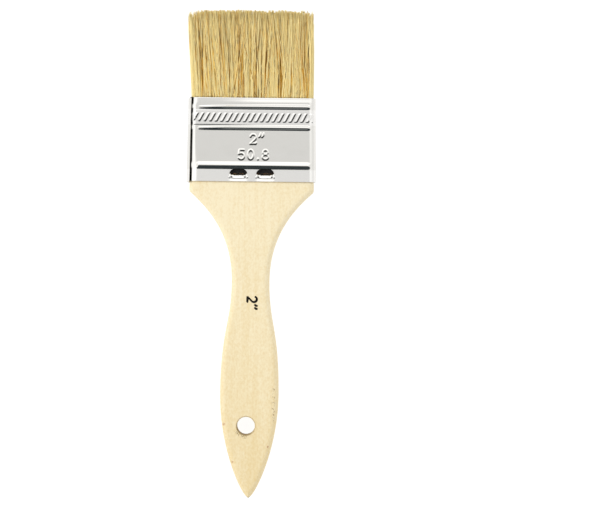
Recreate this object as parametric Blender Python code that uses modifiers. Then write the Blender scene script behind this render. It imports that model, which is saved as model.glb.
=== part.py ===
# A flat two inch paint brush: a wooden handle, a beaded tinplate ferrule staked to it, and
# hog bristle set in resin on both sides of a wooden plug.
# Metres, +Z up. The brush lies on its back along Y, with the bristles towards +Y.

import math
import random

import bmesh
import bpy
from mathutils import Matrix
from mathutils import Vector
from mathutils.geometry import interpolate_bezier

# Clearances
FIT_GAP = 0.0003
HEAD_SIDE_GAP = 0.0004
LAP_GAP = 0.0001

# Handle: its outline runs from the head's corner by the neck and the belly to the tip
HANDLE_LENGTH = 0.1259
HANDLE_THICKNESS = 0.008
EDGE_RADIUS = 0.0022
HEAD_WIDTH = 0.0496
HEAD_STRAIGHT = 0.004
FLARE_ANGLE = math.radians(48.4)
FLARE_PULL = 0.0092
NECK_WIDTH = 0.015
NECK_BELOW_FERRULE = 0.0397
NECK_PULL_UP = 0.0193
NECK_PULL_DOWN = 0.0175
BELLY_WIDTH = 0.0233
BELLY_BELOW_NECK = 0.0453
BELLY_PULL_UP = 0.027
BELLY_PULL_DOWN = 0.0219
TIP_PULL = 0.0023
TIP_FLAT = 0.0006
HANG_HOLE_DIAMETER = 0.0071
HANG_HOLE_CHAMFER = 0.0004
HANG_HOLE_FROM_TIP = 0.0287
HANG_HOLE_LEFT_OF_MIDDLE = 0.0012

# Tongue, the end of the handle inside the ferrule
TONGUE_RELIEF = 0.0002
SHOULDER_BELOW_FERRULE = 0.0004

# Ferrule: from the foot up a plain band with the stakes, a bead, the panel, a bead, the rope
# pattern's band, a bead and the plain lip at the mouth
FERRULE_LENGTH = 0.0334
FERRULE_WALL = 0.0004
FERRULE_TAPER = 0.001
LAP_WRAP = math.radians(45)
LAP_LIFT = 0.0004
FOOT_BAND = 0.0048
LOWER_BEAD_WIDTH = 0.0033
UPPER_BEAD_WIDTH = 0.0024
BEAD_HEIGHT = 0.0005
ROPE_BAND = 0.0059
MOUTH_LIP = 0.0024

# Rope pattern, a row of leaning ribs
ROPE_PITCH = 0.00231
ROPE_MARGIN = 0.0008
ROPE_BAND_GAP = 0.0008
ROPE_RIB_WIDTH = 0.0009
ROPE_RIB_HEIGHT = 0.00035
ROPE_LEAN = math.radians(28)

# Stakes, the half-round lances that lock the ferrule into the tongue
STAKE_WIDTH = 0.0072
STAKE_HEIGHT = 0.0032
STAKE_SPACE_BETWEEN = 0.0035
STAKE_ABOVE_FOOT = 0.0017
STAKE_ANGLE = math.radians(35)
STAKE_SLIT = 0.00015

# Filling of the ferrule
BRISTLE_DEPTH = 0.0131
SETTING_DEPTH = 0.0067
TUFT_SLICE = 0.0015
PLUG_THICKNESS = 0.0024
PLUG_BELOW_MOUTH = 0.003

# Bristles
BRISTLE_LENGTH_OUT = 0.0352
BRISTLE_RADIUS = 0.0003
BRISTLE_TIP_SHARE = 0.6
BRISTLE_GAP = 0.00012
BRISTLE_ROW_GAP = 0.0002
BRISTLE_WANDER = 0.00005
BRISTLE_UNEVEN = 0.0014
BRISTLE_CORNER_DROP = 0.0026
BRISTLE_CORNER_SPAN = 0.009
BRISTLE_SPREAD_ACROSS = 0.0009
BRISTLE_SPREAD_DEEP = 0.0004

# How finely round forms are cut, and how they are shaded and welded
CORNER_STEPS = 5
EDGE_STEPS = 4
BEAD_STEPS = 6
OUTLINE_STEPS = 13
HOLE_SIDES = 32
RIB_SIDES = 6
RIB_RINGS = 4
BRISTLE_SIDES = 3
SHARP_ANGLE = math.radians(40)
WELD_DISTANCE = 1e-6

# Sizes that follow from those above
HALF_TONGUE = HANDLE_THICKNESS / 2 - TONGUE_RELIEF
INNER_HALF_THICKNESS = HALF_TONGUE + FIT_GAP
OUTER_HALF_THICKNESS = INNER_HALF_THICKNESS + FERRULE_WALL
INNER_CORNER = EDGE_RADIUS + FIT_GAP
FOOT_INNER_HALF_WIDTH = HEAD_WIDTH / 2 + HEAD_SIDE_GAP
MOUTH_INNER_HALF_WIDTH = FOOT_INNER_HALF_WIDTH - FERRULE_TAPER / 2
FILL_HALF_WIDTH = MOUTH_INNER_HALF_WIDTH - FIT_GAP
FILL_HALF_THICKNESS = INNER_HALF_THICKNESS - FIT_GAP
LOWER_BEAD = FOOT_BAND + LOWER_BEAD_WIDTH / 2
UPPER_BEAD = FERRULE_LENGTH - MOUTH_LIP - UPPER_BEAD_WIDTH / 2
MIDDLE_BEAD = UPPER_BEAD - ROPE_BAND - UPPER_BEAD_WIDTH
BEADS = (
    (LOWER_BEAD, LOWER_BEAD_WIDTH),
    (MIDDLE_BEAD, UPPER_BEAD_WIDTH),
    (UPPER_BEAD, UPPER_BEAD_WIDTH),
)
TUFT_FOOT = FERRULE_LENGTH - BRISTLE_DEPTH
SETTING_TOP = TUFT_FOOT - FIT_GAP
SETTING_FOOT = SETTING_TOP - SETTING_DEPTH
TONGUE_DEPTH = SETTING_FOOT - FIT_GAP
PLUG_TOP = FERRULE_LENGTH - PLUG_BELOW_MOUTH
TUFT_LOW = PLUG_THICKNESS / 2 + FIT_GAP
BRISTLE_TOP = FERRULE_LENGTH + BRISTLE_LENGTH_OUT
BRISTLE_PITCH = 2 * BRISTLE_RADIUS + BRISTLE_GAP
BRISTLE_ROW_PITCH = 2 * BRISTLE_RADIUS + BRISTLE_ROW_GAP
STAKE_DEPTH = STAKE_HEIGHT * math.sin(STAKE_ANGLE)
STAKE_REACH = STAKE_HEIGHT * math.cos(STAKE_ANGLE)


def clear_scene():
    for thing in list(bpy.data.objects):
        bpy.data.objects.remove(thing)


def new_collection(name):
    collection = bpy.data.collections.new(name)
    bpy.context.scene.collection.children.link(collection)
    return collection


def make_material(name, colour, roughness, metallic=0.0):
    material = bpy.data.materials.new(name)
    material.use_nodes = True
    shader = material.node_tree.nodes["Principled BSDF"]
    shader.inputs["Base Color"].default_value = (*colour, 1)
    shader.inputs["Roughness"].default_value = roughness
    shader.inputs["Metallic"].default_value = metallic
    return material


def object_from(mesh_builder, name):
    """Turns a bmesh into an object that isn't in a collection yet."""
    mesh = bpy.data.meshes.new(name)
    mesh_builder.to_mesh(mesh)
    mesh_builder.free()
    return bpy.data.objects.new(name, mesh)


def loft(name, sections, closed=True):
    """Skins a row of sections that have as many points each. A closed one gets end caps."""
    builder = bmesh.new()
    rings = [[builder.verts.new(point) for point in section] for section in sections]
    count = len(rings[0])
    for ring, following in zip(rings, rings[1:]):
        for i in range(count if closed else count - 1):
            j = (i + 1) % count
            builder.faces.new((ring[i], ring[j], following[j], following[i]))
    if closed:
        builder.faces.new(rings[0])
        builder.faces.new(rings[-1])
    bmesh.ops.remove_doubles(builder, verts=builder.verts, dist=WELD_DISTANCE)
    bmesh.ops.recalc_face_normals(builder, faces=builder.faces)
    return object_from(builder, name)


def mesh_of(source, name):
    """Replaces a curve object by a mesh object whose caps are welded on."""
    graph = bpy.context.evaluated_depsgraph_get()
    mesh = bpy.data.meshes.new_from_object(source.evaluated_get(graph))
    builder = bmesh.new()
    builder.from_mesh(mesh)
    bmesh.ops.remove_doubles(builder, verts=builder.verts, dist=WELD_DISTANCE)
    bmesh.ops.recalc_face_normals(builder, faces=builder.faces)
    made = object_from(builder, name)
    made.matrix_world = source.matrix_world
    bpy.data.objects.remove(source)
    return made


def arc(centre_a, centre_b, radius, start, end, steps, swell=0.0):
    """Points on an arc in a plane. A swell adds to the radius, fully where the arc runs level."""
    angles = [start + (end - start) * i / steps for i in range(steps + 1)]
    radii = [radius + swell * math.sin(t) ** 2 for t in angles]
    return [(centre_a + r * math.cos(t), centre_b + r * math.sin(t)) for r, t in zip(radii, angles)]


def rounded_ring(half_width, low, high, low_radius, high_radius):
    """A rectangle in X and Z with one radius for its lower corners and one for its upper."""
    quarter = math.pi / 2
    corners = (
        (half_width - high_radius, high - high_radius, high_radius, 0),
        (high_radius - half_width, high - high_radius, high_radius, quarter),
        (low_radius - half_width, low + low_radius, low_radius, math.pi),
        (half_width - low_radius, low + low_radius, low_radius, 3 * quarter),
    )
    ring = []
    for x, z, radius, start in corners:
        steps = CORNER_STEPS if radius else 0
        ring += arc(x, z, radius, start, start + quarter, steps) if steps else [(x, z)]
    return ring


def prism(name, ring, foot, top):
    """An outline in X and Z carried along Y."""
    return loft(name, [[(x, y, z) for x, z in ring] for y in (foot, top)])


def chamfering_drill(name, radius, chamfer, half_thickness):
    """A drill along Z that flares towards its ends, and so breaks the hole's rim on both faces."""
    last_turn = 2 * math.pi * (1 - 1 / HOLE_SIDES)
    waist = half_thickness - chamfer
    past = half_thickness + chamfer
    rings = []
    for z, reach in ((-past, 2 * chamfer), (-waist, 0), (waist, 0), (past, 2 * chamfer)):
        circle = arc(0, 0, radius + reach, 0, last_turn, HOLE_SIDES - 1)
        rings.append([(x, y, z) for x, y in circle])
    return loft(name, rings)


def half_round(name, width, height, thickness):
    """A half-round plate in X and Y: a straight edge on the X axis and an elliptic one above."""
    curve = bpy.data.curves.new(name, "CURVE")
    curve.dimensions = "2D"
    curve.fill_mode = "BOTH"
    curve.extrude = thickness / 2
    outline = arc(0, 0, 1, 0, math.pi, 2 * CORNER_STEPS)
    spline = curve.splines.new("POLY")
    spline.points.add(len(outline) - 1)
    spline.use_cyclic_u = True
    for point, (x, y) in zip(spline.points, outline):
        point.co = (x * width / 2, y * height, 0, 1)
    made = bpy.data.objects.new(name, curve)
    cutters.objects.link(made)
    bpy.context.view_layer.update()
    return made


def placed_copy(source, matrix, name):
    """A mesh object like the source one, with its place in its mesh."""
    mesh = source.data.copy()
    mesh.transform(matrix)
    return bpy.data.objects.new(name, mesh)


def join(name, objects):
    """Several meshes as the separate islands of one object."""
    builder = bmesh.new()
    for thing in objects:
        builder.from_mesh(thing.data)
        bpy.data.objects.remove(thing)
    bmesh.ops.recalc_face_normals(builder, faces=builder.faces)
    return object_from(builder, name)


def combine(target, tool, operation):
    """Cuts or joins the target with a tool that is hidden from then on."""
    if tool.name not in cutters.objects:
        cutters.objects.link(tool)
    tool.hide_render = True
    tool.display_type = "WIRE"
    modifier = target.modifiers.new(tool.name, "BOOLEAN")
    modifier.operation = operation
    modifier.object = tool


def finish(piece, material):
    """Applies a piece's modifiers, shades it, and puts it on the carrier with its material."""
    pieces.objects.link(piece)
    bpy.context.view_layer.update()
    graph = bpy.context.evaluated_depsgraph_get()
    mesh = bpy.data.meshes.new_from_object(piece.evaluated_get(graph))
    for modifier in piece.modifiers:
        if modifier.type == "BOOLEAN":
            modifier.object.parent = carrier
    piece.modifiers.clear()
    piece.data = mesh
    mesh.name = piece.name
    mesh.materials.clear()
    mesh.materials.append(material)
    mesh.shade_smooth()
    mesh.set_sharp_from_angle(angle=SHARP_ANGLE)
    piece.parent = carrier


def handle_outline():
    """(half width, y, lean of the edge from the Y axis) down one side, from shoulder to tip."""
    neck = Vector((NECK_WIDTH / 2, -NECK_BELOW_FERRULE))
    belly = Vector((BELLY_WIDTH / 2, neck.y - BELLY_BELOW_NECK))
    tip = Vector((0, -HANDLE_LENGTH))
    corner = Vector((HEAD_WIDTH / 2, -HEAD_STRAIGHT))
    flare = Vector((-math.sin(FLARE_ANGLE), -math.cos(FLARE_ANGLE))) * FLARE_PULL
    stretches = (
        (corner, corner + flare, neck + Vector((0, NECK_PULL_UP)), neck),
        (neck, neck - Vector((0, NECK_PULL_DOWN)), belly + Vector((0, BELLY_PULL_UP)), belly),
        (belly, belly - Vector((0, BELLY_PULL_DOWN)), tip + Vector((TIP_PULL, 0)), tip),
    )
    points = [Vector((HEAD_WIDTH / 2, -SHOULDER_BELOW_FERRULE))]
    for stretch in stretches:
        curve = [point.to_2d() for point in interpolate_bezier(*stretch, OUTLINE_STEPS)]
        points += curve if len(points) == 1 else curve[1:]
    points[-1].x = TIP_FLAT / 2
    outline = []
    for i, point in enumerate(points):
        run = points[min(i + 1, len(points) - 1)] - points[max(i - 1, 0)]
        outline.append((point.x, point.y, math.atan2(abs(run.x), abs(run.y))))
    return outline


def board_section(half_width, y, lean, half_thickness):
    """A section of the board. Its edges are rounded square to the outline, also where that leans."""
    deepest = min(EDGE_RADIUS, half_width * math.cos(lean))
    side = half_thickness - EDGE_RADIUS
    quarter = []
    for i in range(EDGE_STEPS + 1):
        inward = deepest * (1 - math.cos(math.pi / 2 * i / EDGE_STEPS))
        rise = math.sqrt(EDGE_RADIUS**2 - (EDGE_RADIUS - inward) ** 2)
        quarter.append((max(half_width - inward / math.cos(lean), 0), side + rise))
    upper = quarter + [(-x, z) for x, z in reversed(quarter)]
    return [(x, y, z) for x, z in upper + [(x, -z) for x, z in reversed(upper)]]


def stake_places():
    """The middle of each stake's straight edge across the ferrule, and the face that it is on."""
    half_spacing = (STAKE_WIDTH + STAKE_SPACE_BETWEEN) / 2
    return [(side * half_spacing, face) for face in (1, -1) for side in (-1, 1)]


def on_face(x, y, lift, face):
    """The place of something at a height above the middle, on the front (1) or the back (-1)."""
    turn = Matrix.Rotation(0 if face > 0 else math.pi, 4, "Y")
    return Matrix.Translation((x, y, 0)) @ turn @ Matrix.Translation((0, 0, lift))


def make_handle():
    outline = handle_outline()
    shoulder_width = HEAD_WIDTH / 2 - TONGUE_RELIEF
    sections = [
        board_section(shoulder_width, y, 0, HALF_TONGUE) for y in (TONGUE_DEPTH, -SHOULDER_BELOW_FERRULE)
    ]
    sections += [board_section(*station, HANDLE_THICKNESS / 2) for station in outline]
    handle = loft("handle", sections)

    drill = chamfering_drill(
        "hang_hole_drill", HANG_HOLE_DIAMETER / 2, HANG_HOLE_CHAMFER, HANDLE_THICKNESS / 2
    )
    drill.location = (-HANG_HOLE_LEFT_OF_MIDDLE, HANG_HOLE_FROM_TIP - HANDLE_LENGTH, 0)
    combine(handle, drill, "DIFFERENCE")

    # A pocket in the tongue for each stake, as deep as the stake bites
    floor = OUTER_HALF_THICKNESS - STAKE_DEPTH - FERRULE_WALL - FIT_GAP
    pocket_width = STAKE_WIDTH + 2 * FIT_GAP
    pocket_reach = STAKE_REACH + FERRULE_WALL + 2 * FIT_GAP
    plate = half_round("pocket_plate", pocket_width, pocket_reach, HANDLE_THICKNESS)
    plate = mesh_of(plate, "pocket_plate")
    foot = STAKE_ABOVE_FOOT - FIT_GAP
    lift = floor + HANDLE_THICKNESS / 2
    pockets = [placed_copy(plate, on_face(x, foot, lift, face), "pocket") for x, face in stake_places()]
    bpy.data.objects.remove(plate)
    combine(handle, join("stake_pockets", pockets), "DIFFERENCE")
    finish(handle, wood)


def bead_rise(y):
    """How far the beads lift the ferrule's wall at a height."""
    for centre, width in BEADS:
        if abs(y - centre) < width / 2:
            return BEAD_HEIGHT * math.cos(math.pi * (y - centre) / width) ** 2
    return 0.0


def ferrule_heights():
    """Where the wall's stations lie: the foot, the bends of each bead, and the mouth."""
    heights = [0.0]
    for centre, width in BEADS:
        heights += [centre + width * (i / BEAD_STEPS - 0.5) for i in range(BEAD_STEPS + 1)]
    return heights + [FERRULE_LENGTH]


def strip_section(y):
    """The middle of the tinplate strip, once round from its inner end to its lapped outer end."""
    # The beads are rolled into the flat faces, and fade out round the corners
    rise = bead_rise(y)
    radius = INNER_CORNER + FERRULE_WALL / 2
    half_width = FOOT_INNER_HALF_WIDTH - FERRULE_TAPER / 2 * y / FERRULE_LENGTH + FERRULE_WALL / 2
    straight = INNER_HALF_THICKNESS - INNER_CORNER
    left = radius - half_width
    right = half_width - radius
    quarter = math.pi / 2
    path = [(-half_width, -straight)]
    path += arc(left, straight, radius, math.pi, quarter, CORNER_STEPS, rise)
    path += arc(right, straight, radius, quarter, 0, CORNER_STEPS, rise)
    path += arc(right, -straight, radius, 0, -quarter, CORNER_STEPS, rise)

    # The outer end passes outside the inner one, and springs off the front corner
    step_out = FERRULE_WALL + LAP_GAP
    path += arc(left - step_out, -straight, radius, -quarter, -math.pi, CORNER_STEPS, rise)
    for i in range(CORNER_STEPS + 1):
        share = i / CORNER_STEPS
        turn = math.pi - LAP_WRAP * share
        reach = radius + step_out + LAP_LIFT * share**2 + rise * math.sin(turn) ** 2
        path.append((left + reach * math.cos(turn), straight + reach * math.sin(turn)))
    return [(x, y, z) for x, z in path]


def rope_rib():
    """One leaning rib of the rope pattern, rounded above the wall and sunk half way into it."""
    half_length = (ROPE_BAND / 2 - ROPE_BAND_GAP) / math.cos(ROPE_LEAN)
    builder = bmesh.new()
    bmesh.ops.create_uvsphere(builder, u_segments=RIB_SIDES, v_segments=RIB_RINGS, radius=1)
    for vert in builder.verts:
        vert.co.x *= ROPE_RIB_WIDTH / 2
        vert.co.y *= half_length
        vert.co.z *= ROPE_RIB_HEIGHT if vert.co.z > 0 else FERRULE_WALL / 2
    bmesh.ops.rotate(builder, verts=builder.verts, matrix=Matrix.Rotation(-ROPE_LEAN, 3, "Z"))
    return object_from(builder, "rope_rib")


def rope_ribs():
    """The ribs on the flat of the front and of the back."""
    rib = rope_rib()
    flat = MOUTH_INNER_HALF_WIDTH - INNER_CORNER - ROPE_MARGIN
    count = math.floor(2 * flat / ROPE_PITCH) + 1
    height = (UPPER_BEAD + MIDDLE_BEAD) / 2
    copies = []
    for face in (1, -1):
        for i in range(count):
            x = (i - (count - 1) / 2) * ROPE_PITCH
            place = on_face(x, height, OUTER_HALF_THICKNESS, face)
            copies.append(placed_copy(rib, place, "rope_rib_copy"))
    bpy.data.objects.remove(rib)
    return join("rope_ribs", copies)


def make_ferrule():
    ferrule = loft("ferrule", [strip_section(y) for y in ferrule_heights()], closed=False)
    wall = ferrule.modifiers.new("wall", "SOLIDIFY")
    wall.thickness = FERRULE_WALL
    wall.offset = 0
    wall.use_even_offset = True
    combine(ferrule, rope_ribs(), "UNION")

    # Each stake is a half-round window whose metal is bent in about its straight edge
    window = half_round("window_plate", STAKE_WIDTH, STAKE_HEIGHT, 4 * FERRULE_WALL)
    window = mesh_of(window, "window_plate")
    tab_width = STAKE_WIDTH - 2 * STAKE_SLIT
    tab = half_round("tab_plate", tab_width, STAKE_HEIGHT + FERRULE_WALL, FERRULE_WALL)
    tab = mesh_of(tab, "tab_plate")
    middle = OUTER_HALF_THICKNESS - FERRULE_WALL / 2
    root = Matrix.Translation((0, -FERRULE_WALL, 0))
    bend = Matrix.Rotation(-STAKE_ANGLE, 4, "X")
    windows = []
    tabs = []
    for x, face in stake_places():
        place = on_face(x, STAKE_ABOVE_FOOT, middle, face)
        windows.append(placed_copy(window, place, "window"))
        tabs.append(placed_copy(tab, place @ bend @ root, "tab"))
    bpy.data.objects.remove(window)
    bpy.data.objects.remove(tab)
    combine(ferrule, join("stake_windows", windows), "DIFFERENCE")
    combine(ferrule, join("stake_tabs", tabs), "UNION")
    finish(ferrule, tinplate)


def make_setting():
    half = FILL_HALF_THICKNESS
    ring = rounded_ring(FILL_HALF_WIDTH, -half, half, EDGE_RADIUS, EDGE_RADIUS)
    setting = prism("resin_setting", ring, SETTING_FOOT, SETTING_TOP)
    finish(setting, resin)


def make_plug():
    ring = rounded_ring(FILL_HALF_WIDTH, -PLUG_THICKNESS / 2, PLUG_THICKNESS / 2, 0, 0)
    plug = prism("plug", ring, TUFT_FOOT, PLUG_TOP)
    finish(plug, plug_wood)


def tuft_row_width(height):
    """How far across a row of bristles at this height may reach inside the rounded corner."""
    into_corner = max(height + BRISTLE_RADIUS - (FILL_HALF_THICKNESS - EDGE_RADIUS), 0)
    drawn_in = EDGE_RADIUS - math.sqrt(max(EDGE_RADIUS**2 - into_corner**2, 0))
    return FILL_HALF_WIDTH - drawn_in - BRISTLE_RADIUS


def bristle_roots():
    """(across, height, share of the tuft's depth) of each bristle of the front tuft, row by row."""
    lowest = TUFT_LOW + BRISTLE_RADIUS
    depth = FILL_HALF_THICKNESS - BRISTLE_RADIUS - lowest
    rows = math.floor(depth / BRISTLE_ROW_PITCH) + 1
    roots = []
    for row in range(rows):
        share = row / max(rows - 1, 1)
        height = lowest + depth * share
        stagger = BRISTLE_PITCH / 2 * (row % 2)
        reach = tuft_row_width(height) - stagger
        columns = math.floor(2 * reach / BRISTLE_PITCH) + 1
        left = stagger - BRISTLE_PITCH * (columns - 1) / 2
        roots += [(left + BRISTLE_PITCH * column, height, share) for column in range(columns)]
    return roots


def bristle_path(across, height, share, chance):
    """Root, ferrule mouth and tip of one bristle of the front tuft."""
    # Past the plug the two tufts lean together, and the whole bundle spreads a little
    tip_low = FIT_GAP / 2 + BRISTLE_RADIUS
    tip_high = FILL_HALF_THICKNESS - BRISTLE_RADIUS + BRISTLE_SPREAD_DEEP
    tip_across = across + BRISTLE_SPREAD_ACROSS * across / FILL_HALF_WIDTH
    tip_across += chance.uniform(-BRISTLE_WANDER, BRISTLE_WANDER)
    near_edge = max(1 - (FILL_HALF_WIDTH - abs(across)) / BRISTLE_CORNER_SPAN, 0)
    drop = BRISTLE_CORNER_DROP * near_edge**2 + BRISTLE_UNEVEN * chance.random()
    return (
        (across, TUFT_FOOT + TUFT_SLICE / 2, height),
        (across, FERRULE_LENGTH, height),
        (tip_across, BRISTLE_TOP - drop, tip_low + (tip_high - tip_low) * share),
    )


def bristle_profile():
    """The section of a bristle, as a curve to bevel with."""
    curve = bpy.data.curves.new("bristle_profile", "CURVE")
    curve.dimensions = "2D"
    outline = curve.splines.new("POLY")
    outline.points.add(BRISTLE_SIDES - 1)
    outline.use_cyclic_u = True
    for i, point in enumerate(outline.points):
        turn = 2 * math.pi * i / BRISTLE_SIDES
        point.co = (BRISTLE_RADIUS * math.cos(turn), BRISTLE_RADIUS * math.sin(turn), 0, 1)
    profile = bpy.data.objects.new("bristle_profile", curve)
    cutters.objects.link(profile)
    profile.hide_render = True
    profile.display_type = "WIRE"
    return profile


def bristle_bundle(name, face, seed):
    """All bristles of one tuft, as strands that narrow to the tip."""
    curve = bpy.data.curves.new(name, "CURVE")
    curve.dimensions = "3D"
    curve.bevel_mode = "OBJECT"
    curve.bevel_object = bristle_profile()
    curve.use_fill_caps = True
    chance = random.Random(seed)
    for root in bristle_roots():
        path = bristle_path(*root, chance)
        strand = curve.splines.new("POLY")
        strand.points.add(len(path) - 1)
        for point, (x, y, z) in zip(strand.points, path):
            point.co = (x, y, face * z, 1)
        strand.points[-1].radius = BRISTLE_TIP_SHARE
    strands = bpy.data.objects.new(name, curve)
    cutters.objects.link(strands)
    bpy.context.view_layer.update()
    return mesh_of(strands, name)


def make_tuft(name, face, seed):
    """A tuft: its bristles, fused to the slice of hardened resin that their butts stand in."""
    ring = rounded_ring(FILL_HALF_WIDTH, TUFT_LOW, FILL_HALF_THICKNESS, 0, EDGE_RADIUS)
    if face < 0:
        ring = [(x, -z) for x, z in reversed(ring)]
    tuft = prism(name, ring, TUFT_FOOT, TUFT_FOOT + TUFT_SLICE)
    combine(tuft, bristle_bundle(name + "_strands", face, seed), "UNION")
    finish(tuft, bristle)


clear_scene()
pieces = new_collection("paint_brush")
cutters = new_collection("paint_brush_cutters")

# The carrier stands at the ferrule's foot, in the middle of the brush's thickness
carrier = bpy.data.objects.new("paint_brush_carrier", None)
pieces.objects.link(carrier)
carrier.location = (
    0,
    HANDLE_LENGTH - (HANDLE_LENGTH + BRISTLE_TOP) / 2,
    OUTER_HALF_THICKNESS + BEAD_HEIGHT,
)

wood = make_material("pale_wood", (0.87, 0.75, 0.52), 0.55)
plug_wood = make_material("plug_wood", (0.62, 0.45, 0.27), 0.7)
tinplate = make_material("tinplate", (0.8, 0.8, 0.79), 0.2, metallic=1.0)
resin = make_material("setting_resin", (0.45, 0.3, 0.12), 0.4)
bristle = make_material("hog_bristle", (0.72, 0.54, 0.25), 0.6)

make_handle()
make_ferrule()
make_setting()
make_plug()
make_tuft("front_bristles", 1, 11)
make_tuft("back_bristles", -1, 23)
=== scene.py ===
# Looks of a flat two inch paint brush: pale sanded wood, bright rolled tinplate and natural hog bristle.
# It lies on its back on a white table, bristles towards +Y, and the camera looks straight down on it.

import math

import bmesh
import bpy
import numpy as np
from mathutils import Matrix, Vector


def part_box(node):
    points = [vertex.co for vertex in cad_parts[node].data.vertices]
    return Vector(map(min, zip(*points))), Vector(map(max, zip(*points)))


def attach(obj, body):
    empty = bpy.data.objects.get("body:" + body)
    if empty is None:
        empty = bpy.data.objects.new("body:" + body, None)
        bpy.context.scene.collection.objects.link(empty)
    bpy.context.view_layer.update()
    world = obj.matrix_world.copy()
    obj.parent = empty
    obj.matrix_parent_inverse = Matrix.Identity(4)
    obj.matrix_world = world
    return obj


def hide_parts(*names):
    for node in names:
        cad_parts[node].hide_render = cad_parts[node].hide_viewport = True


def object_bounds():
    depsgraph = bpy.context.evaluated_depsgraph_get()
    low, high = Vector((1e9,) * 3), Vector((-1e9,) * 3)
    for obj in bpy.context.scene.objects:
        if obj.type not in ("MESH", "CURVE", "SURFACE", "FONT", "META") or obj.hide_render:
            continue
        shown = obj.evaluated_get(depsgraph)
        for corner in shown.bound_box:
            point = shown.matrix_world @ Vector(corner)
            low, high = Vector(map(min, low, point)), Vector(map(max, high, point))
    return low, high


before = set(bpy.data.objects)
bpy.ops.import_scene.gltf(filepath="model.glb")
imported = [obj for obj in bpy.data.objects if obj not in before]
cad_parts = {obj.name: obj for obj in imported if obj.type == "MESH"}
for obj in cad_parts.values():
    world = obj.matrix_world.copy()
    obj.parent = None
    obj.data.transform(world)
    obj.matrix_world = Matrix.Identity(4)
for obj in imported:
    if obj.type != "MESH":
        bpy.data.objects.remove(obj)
cadLow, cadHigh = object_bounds()

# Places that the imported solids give: the ferrule's foot and mouth along Y, and the middle of the thickness
ferruleLow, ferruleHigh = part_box("ferrule")
footY = ferruleLow.y
mouthY = ferruleHigh.y
middleZ = (ferruleLow.z + ferruleHigh.z) / 2
print("frame loaded, ferrule from", round(footY, 5), "to", round(mouthY, 5))


# Shader arithmetic

class Wire:
    # a node socket; each operator adds one Math node to the same tree
    def __init__(self, tree, socket):
        self.tree = tree
        self.socket = socket

    def node(self, kind, settings, sockets, out=0):
        made = self.tree.nodes.new("ShaderNode" + kind)
        for name, value in settings.items():
            setattr(made, name, value)
        for name, value in sockets.items():
            if isinstance(value, Wire):
                self.tree.links.new(value.socket, made.inputs[name])
            else:
                made.inputs[name].default_value = value
        return Wire(self.tree, made.outputs[out]) if made.outputs else None

    def math(self, operation, *values):
        return self.node("Math", {"operation": operation}, dict(enumerate(values)))

    def __add__(self, other):
        return self.math("ADD", self, other)

    __radd__ = __add__

    def __sub__(self, other):
        return self.math("SUBTRACT", self, other)

    def __rsub__(self, other):
        return self.math("SUBTRACT", other, self)

    def __mul__(self, other):
        return self.math("MULTIPLY", self, other)

    __rmul__ = __mul__

    def __truediv__(self, other):
        return self.math("DIVIDE", self, other)

    def __abs__(self):
        return self.math("ABSOLUTE", self)

    def larger(self, other):
        return self.math("MAXIMUM", self, other)

    def step(self, low, high):  # 0 below low, 1 above high, with level ends
        return self.node("MapRange", {"interpolation_type": "SMOOTHSTEP"},
                         {"Value": self, "From Min": low, "From Max": high})

    def fade(self, low, high):  # 1 below low, 0 above high
        return 1 - self.step(low, high)

    def blend(self, first, second):  # a colour from first to second as this value goes from 0 to 1
        return self.node("Mix", {"data_type": "RGBA"}, {0: self, 6: first, 7: second}, 2)

    def parts(self):
        split = self.node("SeparateXYZ", {}, {"Vector": self}).socket.node
        return [Wire(self.tree, socket) for socket in split.outputs]

    def noise(self, scale, detail=2.0, roughness=0.5, shift=(0, 0, 0)):  # scale: features per metre, per axis
        place = self.node("Mapping", {}, {"Vector": self, "Location": shift, "Scale": scale})
        sockets = {"Vector": place, "Scale": 1.0, "Detail": detail, "Roughness": roughness}
        return self.node("TexNoise", {}, sockets)

    def painted(self, label):  # a value that the mesh holds for each point
        return self.node("Attribute", {"attribute_name": label}, {}, 2)

    def rays(self, *kinds):  # 1 for rays of that kind
        path = self.node("LightPath", {}, {}).socket.node
        return [Wire(self.tree, path.outputs[kind]) for kind in kinds]

    def distance(self, point):
        return self.node("VectorMath", {"operation": "DISTANCE"}, {0: self, 1: point}, 1)

    def bump(self, depth, before=None):  # depth in metres
        sockets = {"Height": self, "Distance": depth, "Strength": 1.0}
        if before:
            sockets["Normal"] = before
        return self.node("Bump", {}, sockets)


def newFinish(name):
    finish = bpy.data.materials.new(name)
    finish.use_nodes = True
    finish.node_tree.nodes.clear()
    coordinates = finish.node_tree.nodes.new("ShaderNodeTexCoord")
    return finish, Wire(finish.node_tree, coordinates.outputs["Object"])


def shade(place, sockets):  # the surface shader, joined to the material's output
    surface = place.node("BsdfPrincipled", {}, sockets)
    place.node("OutputMaterial", {}, {"Surface": surface})


def fromFoot(edges):  # heights above the ferrule's foot as places along Y
    return [footY + edge for edge in edges]


# Mesh helpers

weldReach = 1e-6


def smoothStep(value, low, high):  # 0 to 1 between low and high, with level ends
    t = np.clip((value - low) / (high - low), 0, 1)
    return t * t * (3 - 2 * t)


def gridQuads(rows, columns, start=0):  # quads between neighbouring rows of points, numbered row by row
    corner = start + np.arange(rows - 1)[:, None] * columns + np.arange(columns - 1)
    return np.stack([corner, corner + 1, corner + columns + 1, corner + columns], -1).reshape(-1, 4)


def bandQuads(first, second):  # quads between two rows of point numbers
    return np.stack([first[:-1], first[1:], second[1:], second[:-1]], 1)


def addObject(name, data):
    made = bpy.data.objects.new(name, data)
    bpy.context.scene.collection.objects.link(made)
    return made


def newMesh(name, points, faces, values=None):  # a mesh from arrays, with named values for each point
    mesh = bpy.data.meshes.new(name)
    mesh.from_pydata(points.tolist(), [], faces)
    for label, numbers in (values or {}).items():
        mesh.attributes.new(label, "FLOAT", "POINT").data.foreach_set("value", numbers.astype(np.float32))
    return mesh


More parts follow.
